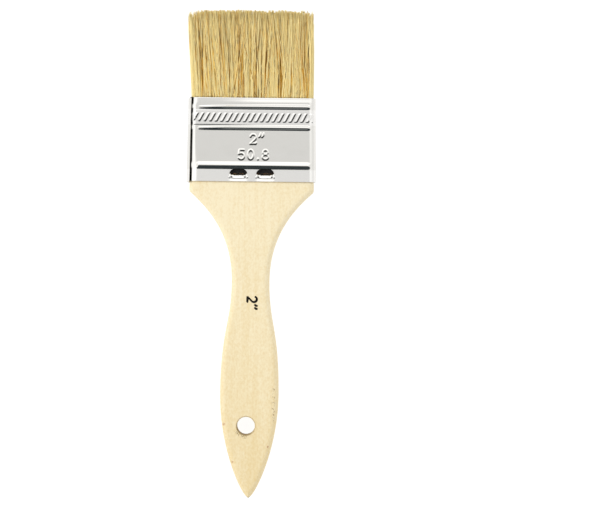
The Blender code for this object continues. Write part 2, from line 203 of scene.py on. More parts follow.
def closeSeams(mesh, sharpDegrees):  # doubles merged, faces outwards, smooth up to the given angle
    builder = bmesh.new()
    builder.from_mesh(mesh)
    bmesh.ops.remove_doubles(builder, verts=builder.verts, dist=weldReach)
    bmesh.ops.recalc_face_normals(builder, faces=builder.faces)
    builder.to_mesh(mesh)
    builder.free()
    mesh.shade_smooth()
    mesh.set_sharp_from_angle(angle=math.radians(sharpDegrees))


def newPiece(mesh, finish):  # the mesh as a piece at the origin, on the brush's one body
    mesh.materials.append(finish)
    piece = addObject(mesh.name, mesh)
    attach(piece, "root")
    print(piece.name, len(mesh.vertices), "points", len(mesh.polygons), "faces")
    return piece


def strokeDistance(x, y, strokes):
    # least distance from each point to a set of polylines: to the nearest point of each straight run
    nearest = np.full(np.shape(x), np.inf)
    for stroke in strokes:
        for (ax, ay), (bx, by) in zip(stroke[:-1], stroke[1:]):
            dx, dy = bx - ax, by - ay
            share = np.clip(((x - ax) * dx + (y - ay) * dy) / (dx * dx + dy * dy), 0, 1)
            nearest = np.minimum(nearest, np.hypot(x - ax - share * dx, y - ay - share * dy))
    return nearest


def arcPoints(centreX, centreY, radiusX, radiusY, start, end, count):  # an elliptic arc, angles in degrees
    turn = np.radians(np.linspace(start, end, count))
    return np.stack([centreX + radiusX * np.cos(turn), centreY + radiusY * np.sin(turn)], -1)


# Plain figures in a box 0.62 wide and 1 high, as strokes that a punch or a pen would draw
figures = {
    "2": [np.concatenate([arcPoints(0.31, 0.69, 0.29, 0.31, 165, -38, 18), [[0.27, 0.24], [0.02, 0.0]]]),
          np.array([[0.0, 0.0], [0.2, 0.01], [0.42, 0.02], [0.58, 0.0], [0.63, 0.1]])],
    "5": [np.concatenate([[[0.56, 1.0], [0.10, 1.0], [0.05, 0.56]],
                          arcPoints(0.29, 0.32, 0.31, 0.32, 118, -145, 20)])],
    "0": [arcPoints(0.31, 0.5, 0.29, 0.5, 90, 450, 28)],
    "8": [arcPoints(0.31, 0.75, 0.24, 0.25, -90, 270, 22), arcPoints(0.31, 0.25, 0.29, 0.25, 90, 450, 24)],
    ".": [np.array([[0.31, 0.0], [0.31, 0.07]])],
    '"': [np.array([[0.22, 1.10], [0.20, 0.92], [0.06, 0.74]]),
          np.array([[0.54, 1.10], [0.52, 0.92], [0.38, 0.74]])],
}
figureMiddle = 0.31
pointAdvance = 0.6  # a decimal point takes this share of the pitch


def figureStrokes(text, centreX, baseY, height, pitch):  # a number's strokes, set side by side about a centre
    advance = [pitch * (pointAdvance if letter == "." else 1) for letter in text]
    left = centreX - sum(advance) / 2
    strokes = []
    for letter, step in zip(text, advance):
        corner = (left + step / 2 - figureMiddle * height, baseY)
        strokes += [stroke * height + corner for stroke in figures[letter]]
        left += step
    return strokes


# Camera: straight above, over the middle of the picture, which lies right of the brush

cameraView = {
    "over": (0.0206, -0.0033),
    "aboveFront": 1.2,
    "lens": 179.6,
    "sensorWidth": 36,
    "clipStart": 0.01,
    "rollDegrees": 0.65,
}


def makeCamera(view):
    data = bpy.data.cameras.new("camera")
    data.lens = view["lens"]
    data.sensor_width = view["sensorWidth"]
    data.clip_start = view["clipStart"]
    camera = addObject("camera", data)
    camera.location = (*view["over"], ferruleHigh.z + view["aboveFront"])
    camera.rotation_euler = (0, 0, math.radians(view["rollDegrees"]))
    bpy.context.scene.camera = camera


makeCamera(cameraView)


# Light: a studio that is bright towards the bristles, dark behind the handle's tip and grey overhead.
# Each edge gives the two sky directions, from -1 to 1, between which one level goes over into the next.

studio = {
    "overhead": 0.76,
    "besides": 0.98,
    "besidesLeft": 1.2,
    "besidesEdge": (0.14, 0.42),
    "horizon": 0.84,
    "horizonEdge": (0.6, 0.97),
    "ahead": 1.25,
    "aheadEdge": (0.16, 0.42),
    "aheadLow": 0.98,
    "aheadLowEdge": (0.56, 0.66),
    "behind": (0.030, 0.038, 0.041, 1),
    "behindEdge": (0.06, 0.20),
    "behindLeftEdge": (-0.75, -0.45),
    "behindLowEdge": (0.22, 0.36),
    "farBehind": (0.22, 0.235, 0.235, 1),
    "farBehindEdge": (0.72, 0.97),
    "soft": 0.772,
    "softRight": 0.28,
    "softRightEdge": (0.2, 0.8),
    "keyPower": 3.5,
    "keyPlace": (-0.80, 0.20, 0.55),
    "keySize": 0.5,
}


def makeStudio(light):
    world = bpy.data.worlds.new("studio")
    world.use_nodes = True
    tree = world.node_tree
    tree.nodes.clear()
    toSky = Wire(tree, tree.nodes.new("ShaderNodeTexCoord").outputs["Generated"])
    x, y, z = toSky.parts()
    sideways, left, back = abs(x), 0 - x, 0 - y
    level = light["overhead"] + sideways.step(*light["besidesEdge"]) * (light["besides"] - light["overhead"])
    level = level + left.step(*light["besidesEdge"]) * (light["besidesLeft"] - light["besides"])
    level = level + sideways.step(*light["horizonEdge"]) * (light["horizon"] - level)
    ahead = light["aheadLow"] + z.step(*light["aheadLowEdge"]) * (light["ahead"] - light["aheadLow"])
    level = level + y.step(*light["aheadEdge"]) * (ahead - level)
    seen, mirrored = toSky.rays("Is Camera Ray", "Is Glossy Ray")
    dark = back.step(*light["farBehindEdge"]).blend(light["behind"], light["farBehind"])
    darkShare = back.step(*light["behindEdge"]) * x.step(*light["behindLeftEdge"])
    inMetal = (darkShare * z.step(*light["behindLowEdge"])).blend(level, dark)
    lift = x.step(*light["softRightEdge"]) * light["softRight"]  # for the handle's right edge
    colour = mirrored.blend(level * light["soft"] + lift, inMetal)
    sky = level.node("Background", {}, {"Color": seen.blend(colour, (1, 1, 1, 1))})
    level.node("OutputWorld", {}, {"Surface": sky})
    bpy.context.scene.world = world

    lamp = bpy.data.lights.new("key", "AREA")
    lamp.energy = light["keyPower"]
    lamp.size = light["keySize"]
    key = addObject("key", lamp)
    key.location = light["keyPlace"]
    key.rotation_euler = Vector(light["keyPlace"]).to_track_quat("Z", "Y").to_euler()
    key.visible_glossy = False


makeStudio(studio)


# Table: it glows a little more for the camera, so that it looks white and keeps the brush's own shadow

table = {
    "size": 6.0,
    "below": 0.0002,
    "colour": (0.25, 0.25, 0.25, 1),
    "glow": 0.72,
    "glowSeen": 0.9,
    "grain": (900, 900, 900),
    "grainDepth": 0.00001,
}


def makeTable(sizes):
    finish, place = newFinish("whiteTable")
    direct, through = place.rays("Is Camera Ray", "Is Transmission Ray")
    grain = place.noise(sizes["grain"])
    glow = sizes["glow"] + direct.larger(through) * (sizes["glowSeen"] - sizes["glow"])
    normal = grain.bump(sizes["grainDepth"])
    paper = place.node("BsdfDiffuse", {}, {"Color": sizes["colour"], "Normal": normal})
    light = place.node("Emission", {}, {"Color": (1, 1, 1, 1), "Strength": glow})
    both = place.node("AddShader", {}, {0: paper, 1: light})
    place.node("OutputMaterial", {}, {"Surface": both})
    half = sizes["size"] / 2
    low = cadLow.z - sizes["below"]
    corners = np.array([(-half, -half, low), (half, -half, low), (half, half, low), (-half, half, low)])
    mesh = newMesh("table", corners, [(0, 1, 2, 3)])
    mesh.materials.append(finish)
    floor = addObject("table", mesh)


makeTable(table)
print("camera, studio and table are set")


# Handle: a pale board whose outline runs from the head by the neck and the belly to the tip

handle = {
    "halfThickness": 0.004,
    "edgeRadius": 0.0022,
    "headWidth": 0.0496,
    "headStraight": 0.004,
    "flareDegrees": 48.4,
    "flarePull": 0.0092,
    "neckWidth": 0.015,
    "neckBelow": 0.0397,
    "neckPullUp": 0.0193,
    "neckPullDown": 0.0175,
    "bellyWidth": 0.0233,
    "bellyBelow": 0.085,
    "bellyPullUp": 0.027,
    "bellyPullDown": 0.0219,
    "length": 0.1259,
    "tipPull": 0.0023,
    "tipFlat": 0.0006,
    "shoulderBelow": 0.0004,
    "tongueRelief": 0.0002,
    "holeRadius": 0.00355,
    "holeFromTip": 0.0287,
    "holeLeft": 0.0012,
    "holeSeam": (0.006, 0.022),
    "holeRim": 0.0004,
    "holeRagged": 0.00005,
    "pocketFloor": 0.0016,
    "pocketEdge": (1.14, 1.24),  # as shares of a stake's half width and height
    "tipRows": 0.012,  # up to here from the tip, rows lie closer together
    "plainRows": (0.0128, 0.0004, 0.0009),  # clear of the tip, clear of the shoulder, and their step
    "holeClear": 0.0003,
    "tongueRows": (0.0004, 0.0006, 0.0054, 0.0059),  # dense between the middle two, over the pockets
    "sharpDegrees": 40,
}

# Stakes: half-round lances in the ferrule that lock it into the handle's tongue, on the front and the back
stakes = {
    "centres": (-0.00535, 0.00535),
    "halfWidth": 0.00358,
    "middle": 0.0028,
    "up": 0.0023,
    "down": 0.0004,
    "arcPower": 3.6,
    "rollReach": 0.0012,
    "rollDepth": 0.00034,
    "rollEnds": 0.25,
    "rollPast": 1.25,
    "dish": 0.0002,
    "dishWidth": 1.12,
    "dishFrom": (0, 0.0012),
    "dishUntil": (0.0020, 0.0050),
    # each crumple's height, and its turns by the way across, by the stake's centre and by y
    "crumples": ((0.35, 7.5, 600, 0), (0.35, 16, 90, 0), (0.3, 29, 0, 2600)),
    "prongs": ((0.80, 0.0029), (0.98, 0.0017)),  # both ends: share of the half width, height above the foot
    "prongWidth": 0.00042,
    "prongRise": 0.00026,
    "tabLength": 0.0019,
    "tabSpanDegrees": 84,
    "tabThickness": 0.9,  # of the wall
    "tabPucker": 0.0001,
    "degreesAtHinge": 40,
    "degreesAtEnd": 76,
}


def handleOutline(sizes):
    # (half width, y from the ferrule's foot) down one side: a straight head, then three cubic curves
    neck = np.array([sizes["neckWidth"] / 2, -sizes["neckBelow"]])
    belly = np.array([sizes["bellyWidth"] / 2, -sizes["bellyBelow"]])
    tip = np.array([0, -sizes["length"]])
    corner = np.array([sizes["headWidth"] / 2, -sizes["headStraight"]])
    lean = math.radians(sizes["flareDegrees"])
    flare = corner - np.array([math.sin(lean), math.cos(lean)]) * sizes["flarePull"]
    curves = (
        (corner, flare, neck + (0, sizes["neckPullUp"]), neck),
        (neck, neck - (0, sizes["neckPullDown"]), belly + (0, sizes["bellyPullUp"]), belly),
        (belly, belly - (0, sizes["bellyPullDown"]), tip + (sizes["tipPull"], 0), tip),
    )
    t = np.linspace(0, 1, 240)[:, None]
    points = [[[sizes["headWidth"] / 2, -sizes["shoulderBelow"]]]]
    for a, b, c, d in curves:
        points.append((1 - t) ** 3 * a + 3 * t * (1 - t) ** 2 * b + 3 * t * t * (1 - t) * c + t**3 * d)
    outline = np.concatenate(points)
    outline[:, 0] = np.maximum(outline[:, 0], sizes["tipFlat"] / 2 * (outline[:, 1] < -sizes["bellyBelow"]))
    keep = np.concatenate([[True], np.diff(outline[:, 1]) < -1e-7])
    return outline[keep]


def handleRows(sizes, holeY):  # places along Y of the board's and the tongue's sections
    rimReach = sizes["holeRadius"] + sizes["holeRim"]
    holeRows = holeY + sizes["holeRadius"] * np.sin(np.radians(np.linspace(-90, 90, 41)))
    rimRows = np.concatenate([holeY - np.linspace(rimReach, sizes["holeRadius"], 5)[:-1],
                              holeY + np.linspace(sizes["holeRadius"], rimReach, 5)[1:]])
    tipRows = -sizes["length"] + sizes["tipRows"] * np.linspace(0, 1, 34) ** 2
    tipClear, shoulderClear, step = sizes["plainRows"]
    plainRows = np.arange(-sizes["length"] + tipClear, -sizes["shoulderBelow"] - shoulderClear, step)
    plainRows = plainRows[np.abs(plainRows - holeY) > rimReach + sizes["holeClear"]]
    boardRows = np.concatenate([plainRows, holeRows, rimRows, tipRows, [-sizes["shoulderBelow"]]])
    sparseEnd, denseStart, denseEnd, sparseStart = sizes["tongueRows"]
    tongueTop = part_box("handle")[1].y - footY
    tongueRows = np.concatenate([np.linspace(-sizes["shoulderBelow"], sparseEnd, 3),
                                 np.linspace(denseStart, denseEnd, 33),
                                 np.linspace(sparseStart, tongueTop, 6)])
    return np.unique(np.round(boardRows, 9)), tongueRows


def makeHandle(sizes, finish):
    # Each half of the board: a station's section goes from a seam through the hole's middle, or from the
    # hole's edge, over the flat and the rounded edge to the side. The edge falls as a circle does, by the
    # distance n square to the outline: z = t - r + sqrt(r2 - max(0, r - n)2). The back mirrors the front.
    outline = handleOutline(sizes)
    lean = np.arctan2(np.abs(np.gradient(outline[:, 0])), np.abs(np.gradient(outline[:, 1])))
    holeY = sizes["holeFromTip"] - sizes["length"]
    boardRows, tongueRows = handleRows(sizes, holeY)
    y = np.concatenate([boardRows, tongueRows])
    inTongue = np.arange(len(y)) >= len(boardRows)

    width = np.interp(-y, -outline[:, 1], outline[:, 0])
    slope = np.interp(-y, -outline[:, 1], lean)
    relief = np.where(inTongue, sizes["tongueRelief"], 0)
    width = np.where(inTongue, sizes["headWidth"] / 2, width) - relief
    slope = np.where(inTongue, 0, slope)
    half = sizes["halfThickness"] - relief
    radius, rim = sizes["edgeRadius"], sizes["holeRim"]
    fromMiddle = (y - holeY) / sizes["holeRadius"]
    ragged = sizes["holeRagged"] * sum(np.sin(k * fromMiddle + k) for k in (3, 7, 11)) / 3
    inner = np.sqrt(np.maximum(sizes["holeRadius"] ** 2 - (y - holeY) ** 2, 0))
    inner = np.where(np.abs(fromMiddle) < 1, np.maximum(inner + ragged, 0), 0)

    seam = -sizes["holeLeft"] * (1 - smoothStep(np.abs(y - holeY), *sizes["holeSeam"]))
    # stops over the flat, closer together at the seam and over the stakes' pockets
    flatShare = np.concatenate([[0, 0.012, 0.03, 0.055], np.linspace(0.08, 0.42, 24),
                                np.linspace(0.5, 1, 6)[:-1]])
    points, faces = [], []
    for sideways in (1, -1):  # x is counted outwards on either side
        start = sideways * seam + inner
        deepest = np.minimum(radius, (width - start) * np.cos(slope))
        roundSteps = deepest[:, None] * (1 - np.cos(np.radians(np.linspace(0, 90, 10))))
        edgeX = width[:, None] - roundSteps / np.cos(slope)[:, None]
        flatX = start[:, None] + (edgeX[:, -1:] - start[:, None]) * flatShare
        x = np.concatenate([flatX, edgeX[:, ::-1]], 1)
        inward = np.clip((width[:, None] - x) * np.cos(slope)[:, None], 0, radius)
        z = half[:, None] - radius + np.sqrt(np.maximum(radius**2 - (radius - inward) ** 2, 0))

        # the hole's rim is rounded off, and each stake has bitten a pocket into the tongue
        fromHole = np.hypot(x + sideways * sizes["holeLeft"], y[:, None] - holeY) - sizes["holeRadius"]
        fromRim = np.clip(rim - fromHole, 0, rim)
        z = z - (rim - np.sqrt(np.maximum(rim**2 - fromRim**2, 0)))
        yGrid = np.broadcast_to(y[:, None], x.shape)
        pocketReach = np.where(yGrid > stakes["middle"], stakes["up"], stakes["down"] + stakes["rollReach"])
        along = (yGrid - stakes["middle"]) / pocketReach
        reach = np.hypot((x - stakes["centres"][1]) / stakes["halfWidth"], along)
        bite = 1 - smoothStep(reach, *sizes["pocketEdge"])
        z = np.where(inTongue[:, None], z + (sizes["pocketFloor"] - z) * bite, z)

        rows, columns = x.shape
        quads = gridQuads(rows, columns)
        for upwards in (1, -1):
            faces += (quads + len(points) * rows * columns).tolist()
            sheet = np.stack([sideways * x, yGrid + footY, middleZ + upwards * z], -1)
            points.append(sheet.reshape(-1, 3))
    index = np.arange(4 * rows * columns).reshape(2, 2, rows, columns)
    byHole = np.abs(y - holeY) <= sizes["holeRadius"] + 1e-9
    for front, back in index:  # the upright side between the rounded edges, and the hole's wall
        faces += bandQuads(front[:, -1], back[:, -1]).tolist()
        faces += bandQuads(front[byHole, 0], back[byHole, 0]).tolist()
    (rightFront, rightBack), (leftFront, leftBack) = index
    for end in (0, rows - 1):  # flat ends at the tip and at the top of the tongue
        ring = [rightFront[end], rightBack[end, ::-1], leftBack[end], leftFront[end, ::-1]]
        faces.append(np.concatenate(ring).tolist())
    mesh = newMesh("handle_board", np.concatenate(points), faces)
    closeSeams(mesh, sizes["sharpDegrees"])
    piece = newPiece(mesh, finish)
    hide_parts("handle")


paleWood = {
    "cream": (0.96, 0.845, 0.585, 1),
    "straw": (0.84, 0.66, 0.345, 1),
    "honey": (0.78, 0.57, 0.25, 1),
    "warmToTip": 0.62,
    "clouds": 0.45,
    "bands": 0.6,
    "fibres": 0.75,
    "mottles": 1.4,
    "pores": 0.3,
    "pocketDepth": (0.0030, 0.0034),
    "pocketFrom": (0.0008, 0.0012),
    "crushed": (0.62, 0.30, 0.10, 1),
    "pocketShade": (0.026, 0.023, 0.022, 1),
    "pocketShadeFrom": (0.0030, 0.0034),
    "burnAndShade": (0.23, 0.13, 0.018, 1),
    "rimBurnAndShade": (0.00025, 0.0006),
    "burntSmear": (0.0011, 0.0018),
    "lowerLeft": (0.45, 0.89),
    "dash": (0.38, 0.27, 0.13, 1),
    "dashX": 0.0097,
    "dashWidth": (0.0003, 0.0009),
    "dashFrom": (-0.0672, -0.0660),
    "dashUntil": (-0.0540, -0.0525),
    "dashDepth": 0.003,
    "speck": (0.50, 0.22, 0.10, 1),
    # x, y and radius of each
    "specks": ((-0.0100, -0.0680, 0.0008), (-0.0064, -0.0830, 0.0007), (0.0076, -0.0768, 0.0006)),
    "tipDark": (0.36, 0.27, 0.11, 1),
    "tipDarkFrom": (0.9935, 0.9985),  # shares of the handle's length
    "tipDarkShare": 0.45,
}


def makePaleWood(looks, sizes):
    finish, place = newFinish("paleSandedWood")
    x, y, z = place.parts()
    fibre = place.noise((1500, 42, 1500), 5, 0.62)
    band = place.noise((330, 9, 330), 3, 0.5, (3, 0, 0))
    cloud = place.noise((60, 22, 60), 2, 0.5, (0, 5, 0))
    pore = place.noise((4200, 150, 4200), 1, 0.5, (7, 0, 0)).step(0.68, 0.76)
    mottle = place.noise((1300, 900, 1300), 2, 0.6, (4, 4, 0))
    toTip = (footY - y) / sizes["length"]
    warmth = toTip.step(0.1, 1.1) * looks["warmToTip"] + (cloud - 0.5) * looks["clouds"]
    warmth = warmth + (band - 0.5) * looks["bands"] + (fibre - 0.5) * looks["fibres"]
    colour = (warmth + (mottle - 0.5) * looks["mottles"] + 0.15).blend(looks["cream"], looks["straw"])
    colour = (pore * looks["pores"]).blend(colour, looks["honey"])

    # in the stakes' pockets the wood is crushed and brown beside the tab, with painted near-black shade
    # deeper in the pocket above it
    inPocket = abs(z - middleZ).fade(*looks["pocketDepth"]) * y.step(*fromFoot(looks["pocketFrom"]))
    torn = y + (place.noise((2600, 2600, 2600), 2, 0.6) - 0.5) * 0.0012
    crushed = torn.step(*fromFoot(looks["pocketShadeFrom"])).blend(looks["crushed"], looks["pocketShade"])
    colour = inPocket.blend(colour, crushed)

    # the hole: a brown, drill-burnt wall and rim, with painted shade making it darkest at the lower left,
    # where burnt dust is smeared past it
    holeX, holeY = -sizes["holeLeft"], footY + sizes["holeFromTip"] - sizes["length"]
    flat = place.node("CombineXYZ", {}, {"X": x, "Y": y})
    reach = flat.distance((holeX, holeY, 0))
    fromHole = reach - sizes["holeRadius"]
    leftShare, lowerShare = looks["lowerLeft"]
    lowerLeft = ((holeX - x) * leftShare + (holeY - y) * lowerShare) / reach  # 1 that way, -1 the other way
    dust = place.noise((2700, 2100, 2700), 2, 0.6).step(0.46, 0.60)
    # the rim's drill burn, deepened towards the lower left as painted shade on the wall in view
    rim = fromHole.fade(*looks["rimBurnAndShade"]) * (0.25 + dust * 0.2 + lowerLeft.step(-0.1, 0.95) * 0.45)
    smear = fromHole.fade(*looks["burntSmear"]) * lowerLeft.step(0.70, 0.95) * dust
    colour = rim.larger(smear * 0.75).blend(colour, looks["burnAndShade"])

    # short dark dashes along the right edge, where the cutter has burnished the wood
    dashes = place.noise((2600, 900, 0), 1, 0.5, (0, 2, 0)).step(0.55, 0.65)
    dashes = dashes * abs(x - looks["dashX"]).fade(*looks["dashWidth"])
    dashes = dashes * y.step(*looks["dashFrom"]) * y.fade(*looks["dashUntil"])
    dashes = dashes * z.step(middleZ, middleZ + looks["dashDepth"])
    colour = (dashes * 0.8).blend(colour, looks["dash"])
    for speckX, speckY, radius in looks["specks"]:
        speck = flat.distance((speckX, speckY, 0)).fade(radius * 0.3, radius)
        colour = (speck * (0.4 + dust * 0.4)).blend(colour, looks["speck"])
    nearTip = toTip.step(*looks["tipDarkFrom"]) * looks["tipDarkShare"]  # the very tip is darker
    colour = nearTip.blend(colour, looks["tipDark"])

    rough = 0.5 + fibre * 0.16 + pore * 0.1
    normal = pore.bump(-0.00002, fibre.bump(0.00003))
    shade(place, {"Base Color": colour, "Roughness": rough, "Normal": normal, "Specular IOR Level": 0.35})
    return finish


makeHandle(handle, makePaleWood(paleWood, handle))


# Printed number on the neck, reading down the handle: a flat ribbon of ink along the figure's stroke

printed = {
    "number": '2"',
    "centre": (0.0007, -0.01965),
    "height": 0.0038,
    "pitch": 0.0030,
    "stroke": 0.0004,
    "strokeEnds": 0.85,
    "strokeSwell": 0.35,
    "thickness": 0.00002,
    "thicker": 0.1,  # each stroke's film by this share, so that no two lie in one plane
    "sharpDegrees": 40,
    "black": (0.006, 0.005, 0.004, 1),
    "worn": (0.03, 0.026, 0.02, 1),
}


def makePrint(sizes):
    finish, place = newFinish("blackInk")
    worn = place.noise((2600, 2600, 2600), 3, 0.6)
    black = worn.step(0.4, 0.8).blend(sizes["black"], sizes["worn"])
    shade(place, {"Base Color": black, "Roughness": 0.55 + worn * 0.2, "Specular IOR Level": 0.1})
    # the stroke's normal n carries its edges, path + n w and path - n w, on the face and one film above it
    points, faces = [], []
    for stroke in figureStrokes(sizes["number"], 0, -sizes["height"] / 2, sizes["height"], sizes["pitch"]):
        along = np.gradient(stroke, axis=0)
        along /= np.linalg.norm(along, axis=1)[:, None]
        swell = np.sin(math.pi * np.linspace(0, 1, len(stroke)))[:, None]
        swell = sizes["strokeEnds"] + sizes["strokeSwell"] * swell
        across = np.stack([-along[:, 1], along[:, 0]], 1) * sizes["stroke"] * swell
        rails = np.stack([stroke - across, stroke + across, stroke + across, stroke - across], 1)
        lift = np.array([0, 0, 1, 1]) * sizes["thickness"] * (1 + sizes["thicker"] * len(points))
        ring = np.empty((len(stroke), 4, 3))
        ring[..., 0] = sizes["centre"][0] + rails[..., 1]  # the figure is turned to read downwards
        ring[..., 1] = sizes["centre"][1] - rails[..., 0]
        ring[..., 2] = middleZ + handle["halfThickness"] + lift
        closed = np.concatenate([ring, ring[:, :1]], 1)
        around = closed.shape[1]
        start = sum(len(p) for p in points)
        faces += gridQuads(len(stroke), around, start).tolist()
        last = start + (len(stroke) - 1) * around
        faces += [[end, end + 1, end + 2, end + 3] for end in (start, last)]
        points.append(closed.reshape(-1, 3))
    mesh = newMesh("size_number", np.concatenate(points), faces)
    closeSeams(mesh, sizes["sharpDegrees"])
    newPiece(mesh, finish)


makePrint(printed)


# Ferrule: one tinplate strip wrapped once round, with beads, a rope pattern, raised size figures and stakes.
# Heights are above its foot, and a pair gives the two places between which something comes in or goes out.

ferrule = {
    "wall": 0.0004,
    "innerHalfThickness": 0.0041,
    "innerCorner": 0.0025,
    "innerHalfWidth": 0.0252,
    "taper": 0.001,
    "length": 0.0334,
    "rimBevel": 0.00012,
    "lapGap": 0.0001,
    "lapWrapDegrees": 52,
    "lapLift": 0.0004,
    "lapSlip": 0.0004,
    "lapSlipFrom": (0.022, 0.006),  # from the strip's lapped end
    "innerEnd": 0.02,  # lengths along the strip: its inner end, the front's middle and the right side
    "frontMiddle": 0.03,
    "rightSide": 0.06,
    "beads": ((0.00645, 0.0033, 0.0, 0.9), (0.0215, 0.0024, 0.0005, 0.2), (0.0298, 0.0024, 0.0005, 0.16)),
    "beadHeight": 0.0005,
    "beadBlunt": (-0.0224, -0.0212),
    "beadTaper": (-0.0226, -0.0090),
    "beadShorter": (-0.012, 0.012),
    "beadEnd": (0.0221, 0.0236),
    "beadDip": 0.0002,
    "cornerBead": 0.35,
    "cornerBeadFrom": (0.0236, 0.0248),
    "crownStart": 0.0016,
    "crownLess": 0.0013,
    "crownLessFrom": (0.003, 0.019),
    "crownLip": 0.7,
    "crownLipFrom": (0.0300, 0.0318),
    "crownCurve": 60,
    "crownFade": 0.0012,
    "ropeCentre": 0.02545,
    "ropeShift": 0.0009,
    "ropeHalfBand": 0.0030,
    "ropePitch": 0.00231,
    "ropeLeanDegrees": 28,
    "ropeHalfHeight": 0.0019,
    "ropeEnd": 0.0005,
    "ropeEndLeft": 0.0008,
    "ropeEndLeftUntil": (-0.022, -0.009),
    "ropeSteep": 0.00074,
    "ropeHollow": 1.7,
    "ropeHeight": 0.00017,
    "ropeOnSides": 0.35,
    "ropeField": 0.00006,
    "ropeFieldEdge": (-0.0003, 0.0001),
    "ropeFieldLess": (-0.02, 0.005),
    "lipFrom": 0.0311,
    "lipFall": 0.00010,
    "lipFallMore": 0.00016,
    "lipFallFrom": (-0.020, 0.004),
    # each number with its middle, its foot and its pitch
    "figures": (('2"', 0.0021, 0.0151, 0.0033), ("50.8", 0.0006, 0.0089, 0.0037)),
    "figureField": (0.012, 0.0075, 0.0205),
    "figureHeight": 0.0037,
    "figureStroke": 0.00060,
    "figureRise": 0.00018,
    "waves": ((430, 210, 0.4), (250, -330, 2.1), (700, 130, 4.0), (160, 520, 5.2), (910, -420, 1.1)),
    "waveHeight": 0.0000045,
    "frontColumns": (86, 44, 17),  # outside the stakes, over each and between them
    "backColumns": (36, 28, 10),
    "cornerColumns": 13,
    "sideColumns": 4,
    "lapColumns": 9,
    "rowBands": ((0.0081, 11), (0.0200, 60), (0.0227, 19), (0.0286, 32), (0.0311, 18)),  # up to, and how many
    "lipRows": 8,
    "footRows": (0.0003, 22),
    "innerRow": 0.015,
    "sharpDegrees": 50,
}
squareOn = 0.999  # a face whose look has a larger sine than this belongs to a flat


def stripColumns(sizes):
    # The strip's middle line in section, from the inner end on the left, over the front, right and back to
    # the lapped end: each column's x and z at the foot, the angle its face looks to, and its length along
    radius = sizes["innerCorner"] + sizes["wall"] / 2
    halfWidth = sizes["innerHalfWidth"] + sizes["wall"] / 2
    straight = sizes["innerHalfThickness"] - sizes["innerCorner"]
    left, right = radius - halfWidth, halfWidth - radius
    stepOut = sizes["wall"] + sizes["lapGap"]
    flatZ = straight + radius
    corner, side = sizes["cornerColumns"], sizes["sideColumns"]

    def across(start, end, outside, over, between):  # stops over a flat, gathered at the ends of the windows
        turn = np.radians(np.linspace(-90, 90, over))
        first, second = (centre + stakes["halfWidth"] * np.sin(turn) for centre in stakes["centres"])
        stretches = (np.linspace(start, first[0], outside), first, np.linspace(first[-1], second[0], between),
                     second, np.linspace(second[-1], end, outside))
        return np.concatenate([stretch[1:] for stretch in stretches])

    def bend(centreX, centreZ, start, end, count, reach=radius, lift=0.0):
        share = np.linspace(0, 1, count)[1:]
        turn = np.radians(start + (end - start) * share)
        r = reach + lift * share**2
        return np.stack([centreX + r * np.cos(turn), centreZ + r * np.sin(turn), turn], 1)

    def upright(x, startZ, endZ, degrees):
        z = startZ + (endZ - startZ) * np.linspace(0, 1, side)[1:]
        return np.stack([np.full(side - 1, x), z, np.full(side - 1, math.radians(degrees))], 1)

    def flat(stops, z, degrees):
        return np.stack([stops, np.full(len(stops), z), np.full(len(stops), math.radians(degrees))], 1)

    backStops = across(left - stepOut, right, *sizes["backColumns"])
    stretches = [
        np.array([[-halfWidth, -straight, math.pi]]),
        upright(-halfWidth, -straight, straight, 180),
        bend(left, straight, 180, 90, corner),
        flat(across(left, right, *sizes["frontColumns"]), flatZ, 90),
        bend(right, straight, 90, 0, corner),
        upright(halfWidth, straight, -straight, 0),
        bend(right, -straight, 0, -90, corner),
        flat(np.concatenate([backStops[:-1][::-1], [left - stepOut]]), -flatZ, -90),
        bend(left - stepOut, -straight, -90, -180, corner),
        upright(-halfWidth - stepOut, -straight, straight, 180),
        bend(left, straight, 180, 180 - sizes["lapWrapDegrees"], sizes["lapColumns"], radius + stepOut,
             sizes["lapLift"]),
    ]
    columns = np.concatenate(stretches)
    length = np.concatenate([[0], np.cumsum(np.hypot(*np.diff(columns[:, :2], axis=0).T))])
    return columns[:, 0], columns[:, 1], columns[:, 2], length


def stakeArc(x, reach):  # height of an elliptic arc about each stake's middle, that far up or down from it
    across = np.min([np.abs(x - centre) / stakes["halfWidth"] for centre in stakes["centres"]], 0)
    return stakes["middle"] + reach * np.sqrt(np.clip(1 - across ** stakes["arcPower"], 0, 1))


def stakeRoll(x, y):  # 0 on the smiling arc where the sheet starts to roll in, 1 at the window's lower edge
    arc = stakeArc(x, -stakes["down"] - stakes["rollReach"])
    return (y - arc) / np.maximum(stakeArc(x, -stakes["down"]) - arc, 1e-5)


def beadRise(x, y, look, length, sizes):
    # a squared cosine across each bead, which starts bluntly or with a long taper on the front's left, where
    # the upper two also have a shorter top, and ends before the right corner
    level = np.sin(look) ** 2  # 1 on the flats, 0 on the sides
    onFront = np.sin(look) > squareOn
    underLap = (length < sizes["innerEnd"]) & (x < -0.02)
    keep = np.where(underLap, np.maximum(level, 0.5), level)
    keep = keep * np.where(x > 0, 1 - smoothStep(x, *sizes["beadEnd"]), 1)
    keep = np.where((length > sizes["rightSide"]) & (np.sin(look) > -0.2), 0, keep)  # the lapped end is plain
    rise = np.zeros(np.shape(y))
    for centre, width, shorter, blunt in sizes["beads"]:
        faded = blunt * smoothStep(x, *sizes["beadBlunt"]) + (1 - blunt) * smoothStep(x, *sizes["beadTaper"])
        atCorner = sizes["cornerBead"] * smoothStep(-x, *sizes["cornerBeadFrom"])
        faded = np.where(np.sin(look) > 0, np.maximum(faded, atCorner), 1)
        above = y - centre + sizes["beadDip"] * (1 - faded) * onFront
        upper = width - 2 * shorter * (1 - smoothStep(x, *sizes["beadShorter"])) * onFront
        share = np.clip(above / np.where(above > 0, upper, width), -0.5, 0.5)
        rise += sizes["beadHeight"] * np.cos(math.pi * share) ** 2 * keep * faded
    return rise


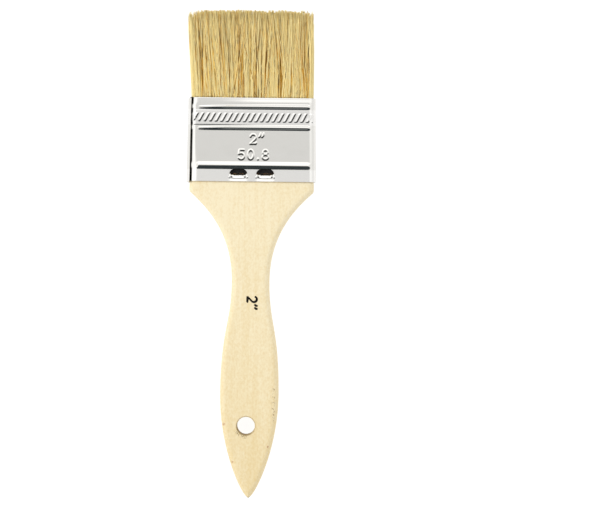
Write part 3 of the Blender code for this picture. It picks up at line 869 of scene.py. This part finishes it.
def crownFall(y, length, sizes):
    # the front falls off towards the lap's corner, sooner at the foot and in the lip: by the square of the
    # way past the crown's start, and round the corner at the slope that it has there, which fades out
    radius = sizes["innerCorner"] + sizes["wall"] / 2
    fromFlat = length - 2 * (sizes["innerHalfThickness"] - sizes["innerCorner"]) - radius * math.pi / 2
    less = smoothStep(y, *sizes["crownLessFrom"]) - sizes["crownLip"] * smoothStep(y, *sizes["crownLipFrom"])
    reach = sizes["crownStart"] - sizes["crownLess"] * less
    fall = np.maximum(reach - np.maximum(fromFlat, 0), 0)
    turned = np.clip(-fromFlat, 0, sizes["crownFade"])
    turned = turned - turned**2 / (2 * sizes["crownFade"])
    return np.where(length < sizes["frontMiddle"], sizes["crownCurve"] * (fall**2 + 2 * reach * turned), 0)


def ropeOffset(y, length, sizes):
    # height from the rope's middle, the place within one leaning rib, and the width of its gentle flank
    upright = y - sizes["ropeCentre"]
    offset = length - sizes["ropeShift"] - upright * math.tan(math.radians(sizes["ropeLeanDegrees"]))
    return upright, np.mod(offset, sizes["ropePitch"]), sizes["ropePitch"] - sizes["ropeSteep"]


def ropeRise(x, y, level, length, sizes):
    # leaning ribs, each with a gentle left flank (a power) and a steep right one, on a slightly raised field
    upright, offset, gentle = ropeOffset(y, length, sizes)
    steep = 1 - smoothStep(offset - gentle, 0, sizes["ropeSteep"])
    flank = np.where(offset < gentle, (offset / gentle) ** sizes["ropeHollow"], steep)
    onLeft = 1 - smoothStep(x, *sizes["ropeEndLeftUntil"])
    soft = sizes["ropeEnd"] + sizes["ropeEndLeft"] * onLeft * (upright < 0)
    ends = 1 - smoothStep(np.abs(upright), sizes["ropeHalfHeight"] - soft, sizes["ropeHalfHeight"])
    ribs = sizes["ropeHeight"] * flank * ends * (sizes["ropeOnSides"] + (1 - sizes["ropeOnSides"]) * level)
    edge = np.abs(upright) - sizes["ropeHalfBand"]
    fieldLevel = level * (1 - 0.5 * smoothStep(x, *sizes["ropeFieldLess"]))
    return ribs + sizes["ropeField"] * (1 - smoothStep(edge, *sizes["ropeFieldEdge"])) * fieldLevel


def figureRelief(x, y, onFlat, sizes):
    # the raised size figures: 1 along the middle of their strokes, falling to 0 with a squared cosine
    strokes = []
    for number, middle, foot, pitch in sizes["figures"]:
        strokes += figureStrokes(number, middle, foot, sizes["figureHeight"], pitch)
    halfField, fieldLow, fieldHigh = sizes["figureField"]
    near = onFlat & (np.abs(x) < halfField) & (y > fieldLow) & (y < fieldHigh)
    relief = np.zeros(np.shape(x))
    away = np.clip(strokeDistance(x[near], y[near], strokes) / sizes["figureStroke"], 0, 1)
    relief[near] = np.cos(math.pi / 2 * away) ** 2
    return relief


def stakeRise(x, y):
    # below each window the sheet sinks, rolls in over a smiling arc with crumples (sines), and stands up
    # in a prong at either end (a squared cosine across a short stroke)
    rise = np.zeros(np.shape(y))
    roll = stakeRoll(x, y)
    for centre in stakes["centres"]:
        across = (x - centre) / stakes["halfWidth"]
        sink = np.exp(-((across / stakes["dishWidth"]) ** 4)) * smoothStep(y, *stakes["dishFrom"])
        sink = sink * (1 - smoothStep(y, *stakes["dishUntil"]))
        ends = smoothStep(1 - np.abs(across), 0, stakes["rollEnds"])
        rollIn = ends * smoothStep(roll, 0, stakes["rollPast"]) * (roll < 1.001)
        crumple = 1
        for height, byAcross, byCentre, byY in stakes["crumples"]:
            crumple = crumple + height * np.sin(byAcross * across + byCentre * centre + byY * y)
        rise -= stakes["dish"] * sink + stakes["rollDepth"] * rollIn * crumple
        prongs = [np.array([[centre + side * share * stakes["halfWidth"], height]
                            for share, height in stakes["prongs"]]) for side in (-1, 1)]
        torn = np.clip(strokeDistance(x, y, prongs) / stakes["prongWidth"], 0, 1)
        rise += stakes["prongRise"] * np.cos(math.pi / 2 * torn) ** 2
    return rise


def stripRise(x, y, look, length, sizes):
    # how far the wall stands out at each point: beads less the crown's fall, the rope, the lip's fall,
    # figures, stakes on both flats, and the slight waves of thin sheet (sines)
    level = np.sin(look) ** 2
    rise = beadRise(x, y, look, length, sizes) - crownFall(y, length, sizes)
    rise += ropeRise(x, y, level, length, sizes)
    lipFall = sizes["lipFall"] + sizes["lipFallMore"] * smoothStep(x, *sizes["lipFallFrom"])
    rise -= lipFall * smoothStep(y, sizes["lipFrom"], sizes["length"]) * level
    rise += sizes["figureRise"] * figureRelief(x, y, np.sin(look) > squareOn, sizes)
    rise += stakeRise(x, y) * (level > squareOn)
    for byLength, byY, phase in sizes["waves"]:
        rise += sizes["waveHeight"] * np.sin(byLength * length + byY * y + phase)
    return rise


# Painted shade on the strip: under the lap's edge, on the rope's steep flanks, under the figures and at the
# stakes
shadeMarks = {
    "edgeInside": 13,  # degrees past the lap's edge, and less of them over the beads and the rope
    "edgeLess": 8,
    "edgeSoft": (-0.03, 0.06),
    "beadShare": 0.42,
    "ropeShare": 0.6,
    "ropeReach": 0.0022,
    "ropeDark": 0.985,
    "ropeEnd": 0.0006,
    "figureDark": 0.985,
    "figureLift": 0.00012,
    "figureGain": 3.2,
    "crease": 0.6,
    "creaseRoll": -0.05,
    "creaseWidth": (0.06, 0.2),
    "creaseEnds": 0.7,
    "tornAcross": 0.74,
    "tornHeight": 0.0018,
    "tornSize": (9, 0.00036),
    "tornEdge": (0.6, 1.2),
}


def stripPaintedShade(x, y, look, length, sizes):
    # painted shade from 0 to 1 at each point, the most of: a step under the lap's edge, the root of a sine
    # over the rope's steep flanks, the slope on the lower side of the figures' strokes, and crease and torn
    # marks at the stakes
    onFront, onFlat = np.sin(look) > squareOn, np.abs(np.sin(look)) > squareOn
    bulge = 0
    for centre, width, *_ in sizes["beads"]:
        bulge = bulge + np.exp(-(((y - centre) / (shadeMarks["beadShare"] * width)) ** 2))
    bulge = bulge + shadeMarks["ropeShare"] * np.exp(-(((y - sizes["ropeCentre"]) / shadeMarks["ropeReach"]) ** 4))
    # painted shade in the slot under the lap's edge, less of it over the beads and the rope
    edge = 180 - sizes["lapWrapDegrees"] - shadeMarks["edgeInside"] + shadeMarks["edgeLess"] * np.minimum(bulge, 1)
    inside = look - np.radians(edge)
    paintedShade = np.where(length < sizes["innerEnd"], smoothStep(inside, *shadeMarks["edgeSoft"]), 0)

    # painted shade on the rope's steep flanks
    upright, offset, gentle = ropeOffset(y, length, sizes)
    shaded = np.sin(math.pi * np.clip((offset - gentle) / sizes["ropeSteep"], 0, 1))
    endsFrom = sizes["ropeHalfHeight"] - shadeMarks["ropeEnd"]
    shaded = shaded * (1 - smoothStep(np.abs(upright), endsFrom, sizes["ropeHalfHeight"]))
    paintedShade = np.maximum(paintedShade, np.where(onFlat, shadeMarks["ropeDark"] * shaded**0.4, 0))

    # painted shade on the lower side of the figures' strokes
    lift = shadeMarks["figureLift"]
    lower, upper = (figureRelief(x, y + away, onFront, sizes) for away in (-lift, lift))
    paintedShade = np.maximum(paintedShade, shadeMarks["figureDark"] * np.clip(shadeMarks["figureGain"] * (upper - lower), 0, 1))

    # painted shade along the crease where the sheet rolls in under each window, and in the dark pockets at
    # the tab's torn ends
    fromCrease = np.abs(stakeRoll(x, y) - shadeMarks["creaseRoll"])
    crease = shadeMarks["crease"] * (1 - smoothStep(fromCrease, *shadeMarks["creaseWidth"]))
    perAcross, tornReach = shadeMarks["tornSize"]
    for centre in stakes["centres"]:
        across = np.abs(x - centre) / stakes["halfWidth"]
        fromTorn = np.hypot((across - shadeMarks["tornAcross"]) * perAcross, (y - shadeMarks["tornHeight"]) / tornReach)
        torn = 1 - smoothStep(fromTorn, *shadeMarks["tornEdge"])
        marks = np.maximum(torn, crease * (across < shadeMarks["creaseEnds"]))
        paintedShade = np.maximum(paintedShade, np.where(onFlat, marks, 0))
    return paintedShade


def makeFerrule(sizes, finish):
    # Columns follow the strip's section and rows its height. Both walls are the middle line moved along the
    # look, outwards by half the wall and the rise. Rows part round the stakes' windows.
    x, z, look, length = stripColumns(sizes)
    hinge, top = stakeArc(x, -stakes["down"]), stakeArc(x, stakes["up"])
    past = sizes["beads"][0][0]
    bevel, whole = sizes["rimBevel"], sizes["length"]
    rimSteps = np.array([0, bevel * 0.35, bevel])
    footStart, footCount = sizes["footRows"]
    lower = np.concatenate([rimSteps[:, None] + np.zeros(len(x)),
                            footStart + (hinge - footStart) * np.linspace(0, 1, footCount)[:, None]])
    parted = top + (past - top) * np.linspace(0, 1, footCount)[:, None]
    higher = [past]
    for end, count in (*sizes["rowBands"], (whole - bevel, sizes["lipRows"])):
        higher.extend(np.linspace(higher[-1], end, count)[1:])
    higher = np.array(higher[1:] + [whole - bevel * 0.35, whole])
    y = np.concatenate([lower, parted, np.repeat(higher[:, None], len(x), 1)])
    rows, columns = y.shape

    def spread(y):  # the strip's own places for a grid of heights
        xGrid, lookGrid, lengthGrid = (np.broadcast_to(a, y.shape) for a in (x, look, length))
        return xGrid, y, lookGrid, lengthGrid, sizes

    slipStart, slipEnd = (length[-1] - fromEnd for fromEnd in sizes["lapSlipFrom"])
    slipped = sizes["lapSlip"] * smoothStep(length, slipStart, slipEnd)

    def placed(y, offset):  # the strip is wrapped a little askew, so that its lapped end sits lower
        narrow = 1 - sizes["taper"] / 2 / sizes["innerHalfWidth"] * y / whole
        sheetX = x * narrow + np.cos(look) * offset
        return np.stack([sheetX, footY + y - slipped, middleZ + z + np.sin(look) * offset], -1)

    fromRim = np.minimum(y, whole - y)
    rounded = np.maximum(bevel - np.where(y < whole / 2, 2, 1) * fromRim, 0)
    roundedOff = bevel - np.sqrt(np.maximum(bevel**2 - rounded**2, 0))
    outer = placed(y, sizes["wall"] / 2 + stripRise(*spread(y)) - roundedOff)
    levelRows = [np.full(len(x), height) for height in (past, sizes["innerRow"], whole)]
    innerY = np.stack([np.zeros(len(x)), hinge, top, *levelRows])
    sunk = np.minimum(stripRise(*spread(innerY)), 0)
    inner = placed(innerY, 0.6 * sunk - sizes["wall"] / 2)

    # faces: both walls but for the row that the windows open, the rims, the windows' edges and the two ends
    outerIndex = np.arange(rows * columns).reshape(rows, columns)
    innerIndex = rows * columns + np.arange(innerY.size).reshape(innerY.shape)
    openRow = len(lower) - 1
    bands = [(outerIndex[i], outerIndex[i + 1]) for i in range(rows - 1) if i != openRow]
    bands += [(innerIndex[i + 1], innerIndex[i]) for i in range(len(innerY) - 1) if i != 1]
    bands += [(innerIndex[0], outerIndex[0]), (outerIndex[-1], innerIndex[-1])]
    opened = top > hinge + 1e-9
    inWindow = opened[:-1] | opened[1:]
    faces = np.concatenate([bandQuads(*band) for band in bands]).tolist()
    for outerRow, innerRow in ((openRow, 1), (openRow + 1, 2)):
        faces += bandQuads(outerIndex[outerRow], innerIndex[innerRow])[inWindow].tolist()
    for column in (0, columns - 1):
        faces.append(outerIndex[:, column].tolist() + innerIndex[::-1, column].tolist())

    points = [outer.reshape(-1, 3), inner.reshape(-1, 3)]
    count = y.size + innerY.size
    for centre in stakes["centres"]:
        for upwards in (1, -1):
            tabPoints, tabFaces = stakeTab(centre, upwards, sizes)
            faces += (tabFaces + count).tolist()
            points.append(tabPoints)
            count += len(tabPoints)
    # painted shade, for the outer wall's points only
    paintedShade = np.zeros(count)
    paintedShade[: y.size] = stripPaintedShade(*spread(y)).ravel()
    mesh = newMesh("ferrule_strip", np.concatenate(points), faces, {"paintedShade": paintedShade})
    closeSeams(mesh, sizes["sharpDegrees"])
    piece = newPiece(mesh, finish)
    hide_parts("ferrule")


def stakeTab(centre, upwards, sizes):
    # the window's metal, bent in from its lower edge: the angle grows from there, each step adds its cosine
    # along and its sine inwards, and the torn end is ragged
    span = stakes["tabSpanDegrees"]
    p = np.sin(np.radians(np.linspace(-span, span, 29)))
    q = np.linspace(0, 1, 12)[:, None]
    ragged = 1 + 0.16 * np.sin(8 * p + 900 * centre) + 0.1 * np.sin(19 * p + upwards)
    reach = stakes["tabLength"] * np.sqrt(1 - p**2) * ragged
    more = stakes["degreesAtEnd"] - stakes["degreesAtHinge"]
    angle = np.radians(stakes["degreesAtHinge"] + more * smoothStep(q, 0.0, 0.7)) * (1 - 0.65 * p**4)
    advance = reach / (len(q) - 1)
    along = (np.cumsum(np.cos(angle), 0) - np.cos(angle[:1])) * advance
    deep = (np.cumsum(np.sin(angle), 0) - np.sin(angle[:1])) * advance
    x = np.broadcast_to(centre + stakes["halfWidth"] * p, along.shape)
    rows, columns = along.shape
    start = stakeArc(x[0], -stakes["down"])
    rolled = stripRise(x[0], start, np.full(columns, math.pi / 2), x[0] + sizes["frontMiddle"], sizes)
    pucker = stakes["tabPucker"] * np.sin(9.5 * p + 1300 * centre) * q
    surface = sizes["innerHalfThickness"] + sizes["wall"] + rolled - deep + pucker
    sheets = []
    for lower in (0, sizes["wall"] * stakes["tabThickness"]):
        sheet = np.stack([x, footY + start + along, middleZ + upwards * (surface - lower)], -1)
        sheets.append(sheet.reshape(-1, 3))
    quads = gridQuads(rows, columns)
    index = np.arange(rows * columns).reshape(rows, columns)
    rim = np.concatenate([index[0], index[1:, -1], index[-1, -2::-1], index[-2:0:-1, 0]])
    following = np.roll(rim, -1)
    edge = np.stack([rim, following, following + rows * columns, rim + rows * columns], 1)
    return np.concatenate(sheets), np.concatenate([quads, quads[:, ::-1] + rows * columns, edge])


tinplate = {
    "clean": (0.91, 0.895, 0.855, 1),
    "dull": (0.86, 0.845, 0.80, 1),
    "paintedSheen": (0.985, 0.97, 0.94, 1),
    "sheenShare": 0.8,
    "sheenFrom": (0.0222, 0.0228),
    "sheenUntil": (0.0284, 0.0290),
    "sheenFoot": (0.0044, 0.0052),
    # near-black tin for the painted shade
    "paintedShade": (0.018, 0.018, 0.014, 1),
    "smooth": 0.085,
}


def makeTinplate(looks):
    finish, place = newFinish("brightTinplate")
    roll = place.noise((60, 2600, 900), 3, 0.55)  # fine lines of the rolling mill, round the ferrule
    cloud = place.noise((160, 220, 160), 3, 0.55, (2, 0, 0))
    peel = place.noise((1500, 1500, 1500), 2, 0.5)
    smudge = cloud.step(0.5, 0.75)
    colour = (cloud * 0.7 + roll * 0.3).blend(looks["clean"], looks["dull"])
    # the rope's field and the band at the foot get a painted sheen: paler tin than the panel, standing in for
    # a brighter reflection there
    y = place.parts()[1]
    field = y.step(*fromFoot(looks["sheenFrom"])) * y.fade(*fromFoot(looks["sheenUntil"]))
    paintedSheen = field.larger(y.fade(*fromFoot(looks["sheenFoot"])))
    colour = (paintedSheen * looks["sheenShare"]).blend(colour, looks["paintedSheen"])
    # painted shade from the strip's points darkens the tin towards near black and roughens it
    paintedShade = place.painted("paintedShade")
    colour = paintedShade.blend(colour, looks["paintedShade"])
    rough = looks["smooth"] + smudge * 0.07 + roll * 0.05 + paintedShade * 0.4
    normal = roll.bump(0.0000012, peel.bump(0.000002))
    shade(place, {"Base Color": colour, "Metallic": 1.0, "Roughness": rough, "Normal": normal})
    return finish


makeFerrule(ferrule, makeTinplate(tinplate))


# Bristles: two tufts of straw-coloured strands, in leaning clumps with uneven tips

tufts = {
    "strands": 5000,
    "halfWidth": 0.0242,
    "low": 0.0015,
    "high": 0.00375,
    "cornerX": 0.0222,
    "cornerZ": 0.0016,
    "cornerRadius": 0.0022,
    "crowding": 1.35,  # towards the wall
    "tipLow": 0.0002,
    "tipHigh": 0.0043,
    "tipLift": 0.00025,
    "closeUp": 0.00035,
    "belly": 0.00012,
    "leastZ": 0.0001,
    "spread": 0.0005,
    "sway": -0.0011,
    "radius": 0.000125,
    "thickness": (0.6, 1.4),
    "darkThickness": 1.15,
    "rings": (0.0, 0.2, 0.42, 0.64, 0.84, 1.0),  # shares of the free length
    "ringBelowMouth": 0.0006,
    "ringRadii": (1, 1, 1.05, 1.0, 1.0, 0.95, 0.5),
    "sheets": 3,
    "clumpPitch": 0.0009,
    "clumpLean": 0.0012,
    "clumpUneven": 0.5,
    "clumpTone": 0.13,
    "bow": 0.0003,
    "drifts": ((210, 0.6), (370, 2.2), (640, 4.1), (1050, 1.7)),
    "driftLean": 0.0015,
    "strandLean": 0.0012,
    "strayShare": 0.3,
    "strayLean": 0.0028,
    "calmSide": 0.004,
    "sideRagged": 0.0003,
    "gather": 0.42,
    "gatherTip": 0.45,
    "gatherTipFrom": 0.62,
    "spikePitch": 0.0011,
    "spikeSlope": 0.3,
    "spikeReach": 0.0011,
    "spikeUneven": 0.0003,
    "uneven": 0.0020,
    "leftDrop": (0.0024, 0.0075),  # how far, and over how much of the width
    "rightDrop": (0.0028, 0.0050),
    "toneTop": 0.98,
    "deepShade": 0.4,
    "toneSpread": 0.30,
    "darkShare": 0.12,
    "darkDepth": (0.3, 0.7),
    "darkTone": -0.6,
    "paleSide": (0.0014, 0.0006),
}


def makeTuft(name, upwards, seed, sizes, finish):
    # Each strand is a three-sided tube along a path from its butt, straight to the mouth, then leaning with
    # its clump: x = root + gather to the clump and to a tip point + fan + lean + sway + bow sin(pi t), which
    # grow with t, the share of the free length. Rings lie at fixed shares.
    draw = np.random.default_rng(seed)
    count, halfWidth = sizes["strands"], sizes["halfWidth"]
    depth = 1 - draw.random(count) ** sizes["crowding"]  # 0 at the plug, 1 at the wall
    across = (np.arange(count) + draw.random(count)) / count * 2 - 1
    rootX = across * halfWidth
    inCorner = np.maximum(np.abs(rootX) - sizes["cornerX"], 0)  # the mouth's corners hold the strands in
    roof = np.minimum(sizes["high"], sizes["cornerZ"] + np.sqrt(sizes["cornerRadius"] ** 2 - inCorner**2))
    rootZ = sizes["low"] + (roof - sizes["low"]) * depth

    # clumps: sheets of them in depth, each with its own places, leans, lengths and tones
    sheets = sizes["sheets"]
    clumps = int(2 * halfWidth / sizes["clumpPitch"])
    sheet = np.minimum((depth * sheets).astype(int), sheets - 1)
    places = (np.arange(clumps) + draw.uniform(0.05, 0.95, (sheets, clumps))) / clumps * 2 - 1
    places = np.sort(places, 1) * halfWidth
    nearest = np.abs(rootX[:, None] - places[sheet]).argmin(1)
    clumpX = places[sheet, nearest]

    def perClump(deviation):  # one draw for each clump, handed to its strands
        return draw.normal(0, deviation, (sheets, clumps))[sheet, nearest]

    lean = perClump(sizes["clumpLean"])
    bow = perClump(sizes["bow"])
    shorter = perClump(sizes["clumpUneven"])
    clumpTone = perClump(sizes["clumpTone"])
    for turns, phase in sizes["drifts"]:  # slow drifts of the lean over the width
        lean = lean + sizes["driftLean"] * 0.5 * np.sin(turns * rootX + phase + 1.9 * sheet + seed)

    stray = draw.random(count) < sizes["strayShare"]
    ownLean = draw.normal(0, 1, count) * np.where(stray, sizes["strayLean"], sizes["strandLean"])
    ownBow = draw.normal(0, sizes["bow"], count)
    nearSide = smoothStep(np.abs(rootX), halfWidth - sizes["calmSide"], halfWidth)
    lean = (lean + ownLean) * (1 - 0.85 * nearSide)
    outermost = halfWidth + draw.normal(0, sizes["sideRagged"], count)
    lean = np.clip(rootX + lean, -outermost, outermost) - rootX  # no strand strays past the tuft's sides
    bow = (bow + ownBow) * (1 - 0.6 * nearSide)
    liftTip = draw.normal(0, sizes["tipLift"], count)

    # tones from 0 to 1, lower towards the plug as painted shade, with some dark strands below that and pale
    # ones at the sides
    tone = sizes["toneTop"] - sizes["deepShade"] * (1 - depth) ** 1.5 + clumpTone
    tone = np.clip(tone + draw.normal(0, sizes["toneSpread"], count), 0.15, 1)
    dark = draw.random(count) < sizes["darkShare"] * smoothStep(depth, *sizes["darkDepth"])
    paleSide = smoothStep(np.abs(rootX), *(halfWidth - inside for inside in sizes["paleSide"]))
    tone = np.maximum(np.where(dark, sizes["darkTone"], tone), 1.7 * paleSide - 0.7)
    thick = sizes["radius"] * np.where(dark, sizes["darkThickness"], draw.uniform(*sizes["thickness"], count))

    # at the tips the strands draw together into points of unequal height, and the tuft's corners are lower
    drop = 0
    for label, outwards in (("leftDrop", -rootX), ("rightDrop", rootX)):
        fall, zone = sizes[label]
        drop = drop + fall * smoothStep(outwards, halfWidth - zone, halfWidth) ** 1.5
    spikeCount = int(2 * halfWidth / sizes["spikePitch"])
    spikes = (np.arange(spikeCount) + draw.uniform(-0.4, 1.4, spikeCount)) / spikeCount * 2 - 1
    spikes = spikes * (halfWidth + sizes["spread"]) + sizes["sway"]
    height = np.abs(draw.normal(0, sizes["spikeUneven"], spikeCount))
    tipX = rootX * (1 + sizes["spread"] / halfWidth) + lean + sizes["sway"]
    spike = np.abs(tipX[:, None] - spikes).argmin(1)
    toSpike = np.clip(spikes[spike] - tipX, -sizes["spikeReach"], sizes["spikeReach"])
    toSpike = toSpike * np.where(stray, 0.25, 1)
    drop = drop + height[spike] + sizes["spikeSlope"] * np.abs(toSpike)
    drop = drop + sizes["uneven"] * np.clip(draw.gamma(2.0, 0.25, count) + 0.3 * shorter, 0, 2.0)
    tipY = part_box(name)[1].y - drop
    buttY = np.full(count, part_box(name)[0].y)

    ringShare, belowMouth = np.array(sizes["rings"]), sizes["ringBelowMouth"]
    freeY = mouthY - belowMouth + (tipY - mouthY + belowMouth)[:, None] * ringShare
    y = np.concatenate([buttY[:, None], freeY], 1)
    t = np.clip((y - mouthY) / (tipY - mouthY)[:, None], 0, 1)
    toClump = (clumpX - rootX) * np.where(stray, 0.2, 1)
    gathered = sizes["gather"] * np.sin(math.pi * t**0.8) * toClump[:, None]
    gathered = gathered + sizes["gatherTip"] * smoothStep(t, sizes["gatherTipFrom"], 1.0) * toSpike[:, None]
    fan = sizes["spread"] * (rootX / halfWidth)[:, None] * t**0.7
    x = rootX[:, None] + gathered + fan + lean[:, None] * t**1.1 + sizes["sway"] * t
    x = x + bow[:, None] * np.sin(math.pi * t)
    tipZ = sizes["tipLow"] + (sizes["tipHigh"] - sizes["tipLow"]) * depth + liftTip * depth
    close = (1 - depth)[:, None] ** 2  # the strands next to the plug close up behind it at once
    z = rootZ[:, None] - sizes["closeUp"] * close * (y > mouthY - 0.001)
    z = z + (tipZ[:, None] - z) * t ** (0.8 - 0.5 * close)
    z = np.maximum(z + sizes["belly"] * np.sin(math.pi * t) * depth[:, None], sizes["leastZ"])

    radius = thick[:, None] * np.array(sizes["ringRadii"])
    spin = draw.uniform(0, 2 * math.pi, count)[:, None, None] + np.radians([0, 120, 240])
    rings = y.shape[1]
    tubeX = x[..., None] + radius[..., None] * np.cos(spin)
    tubeZ = middleZ + upwards * (z[..., None] + radius[..., None] * np.sin(spin))
    tubeY = np.broadcast_to(y[..., None], tubeX.shape)
    strandPoints = np.stack([tubeX, tubeY, tubeZ], -1).reshape(-1, 3)

    values = {"tone": np.repeat(tone, rings * 3), "along": np.repeat(t.reshape(-1), 3)}
    mesh = newMesh(name + "_strands", strandPoints, strandFaces(count, rings, upwards), values)
    mesh.shade_smooth()
    strandMap(mesh, count, rings)
    piece = newPiece(mesh, finish)
    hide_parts(name)


def strandFaces(count, rings, upwards):  # three walls from ring to ring of each strand, all tips, all butts
    base = np.arange(count)[:, None, None] * rings * 3
    ring = base + np.arange(rings - 1)[:, None] * 3
    side, following = np.arange(3), np.array([1, 2, 0])
    corners = [ring + side, ring + following, ring + 3 + following, ring + 3 + side]
    quads = np.stack(corners, -1).reshape(-1, 4)
    start = np.arange(count) * rings * 3
    last = start + (rings - 1) * 3
    tips, butts = np.stack([last, last + 1, last + 2], 1), np.stack([start + 2, start + 1, start], 1)
    caps = np.concatenate([tips, butts])
    if upwards < 0:  # mirrored strands have their faces turned round
        quads, caps = quads[:, ::-1], caps[:, ::-1]
    return quads.tolist() + caps.tolist()


def strandMap(mesh, count, rings):
    # a map for painting: every strand has its own cell of a square table, unrolled along the cell's height
    cells = math.ceil(math.sqrt(count))
    strand = np.arange(count)
    cell = np.stack([strand % cells, strand // cells], 1)[:, None, None, None, :]
    sideAt = np.stack([np.arange(3), np.arange(1, 4), np.arange(1, 4), np.arange(3)], 1) / 3  # across it
    ringAt = np.arange(rings - 1)[:, None, None] + np.array([0, 0, 1, 1])
    inCell = np.stack(np.broadcast_arrays(sideAt[None], ringAt / (rings - 1)), -1)
    walls = (cell + 0.1 + 0.8 * inCell[None]).reshape(-1, 2)
    tri = np.array([[0.1, 0.9], [0.5, 0.9], [0.9, 0.95]])
    tips = (cell[:, 0, 0] + tri).reshape(-1, 2)
    butts = (cell[:, 0, 0] + tri * (1, 0.06)).reshape(-1, 2)
    layer = mesh.uv_layers.new(name="OFBake")
    layer.uv.foreach_set("vector", (np.concatenate([walls, tips, butts]) / cells).astype(np.float32).ravel())


hogBristle = {
    "shadow": (0.18, 0.075, 0.004, 1),
    "brown": (0.60, 0.29, 0.03, 1),
    "straw": (1.0, 0.705, 0.20, 1),
    "pale": (1.0, 0.845, 0.42, 1),
    "tip": (1.0, 0.85, 0.42, 1),
    "tipLightShare": 0.35,
    "mouth": (0.16, 0.09, 0.03, 1),
    "mouthShare": 0.9,
}


def makeBristle(looks):
    finish, place = newFinish("hogBristle")
    tone, along = place.painted("tone"), place.painted("along")
    streak = place.noise((5200, 170, 5200), 2, 0.5)
    dash = place.noise((2600, 130, 2600), 1, 0.5, (2, 0, 0)).step(0.46, 0.56)
    mixed = tone + (streak - 0.5) * 0.8
    colour = mixed.step(-0.05, 0.55).blend(looks["brown"], looks["straw"])
    colour = mixed.step(0.5, 1.0).blend(colour, looks["pale"])
    colour = (mixed.fade(-0.5, -0.1) * dash).blend(colour, looks["shadow"])  # dark strands: painted shadow in short lengths, standing in for the shade in gaps between clumps
    # paler towards the tips: painted light that lifts the thin tips out of the shade between the strands
    colour = (along.step(0.45, 1.0) * looks["tipLightShare"]).blend(colour, looks["tip"])
    # painted shade at the mouth, in patches where the strands go in under the ferrule's rim
    mouth = place.noise((1400, 0, 1400), 1, 0.5, (1, 1, 1)).step(0.42, 0.54)
    colour = (along.fade(0.005, 0.04) * mouth * looks["mouthShare"]).blend(colour, looks["mouth"])
    shade(place, {"Base Color": colour, "Roughness": 0.55 + streak * 0.2, "Specular IOR Level": 0.04})
    return finish


bristle = makeBristle(hogBristle)
makeTuft("front_bristles", 1, 41, tufts, bristle)
makeTuft("back_bristles", -1, 83, tufts, bristle)


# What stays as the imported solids: the plug between the tufts and the resin that holds the butts

def makePlugWood():
    finish, place = newFinish("sawnPlugWood")
    fibre = place.noise((40, 1300, 1300), 4, 0.6)
    saw = place.noise((900, 60, 900), 2, 0.5)
    colour = (fibre * 0.7 + saw * 0.3).blend((0.62, 0.44, 0.25, 1), (0.42, 0.27, 0.13, 1))
    shade(place, {"Base Color": colour, "Roughness": 0.6 + fibre * 0.2, "Normal": fibre.bump(0.00005)})
    return finish


def makeSettingResin():
    finish, place = newFinish("settingResin")
    cloud = place.noise((500, 500, 500), 3, 0.55)
    colour = cloud.blend((0.44, 0.27, 0.08, 1), (0.30, 0.16, 0.04, 1))
    shade(place, {"Base Color": colour, "Roughness": 0.3 + cloud * 0.15, "Normal": cloud.bump(0.00004)})
    return finish


for node, finish in (("plug", makePlugWood()), ("resin_setting", makeSettingResin())):
    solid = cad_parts[node]
    solid.data.materials.clear()
    solid.data.materials.append(finish)

bpy.context.scene.view_settings.view_transform = "Standard"
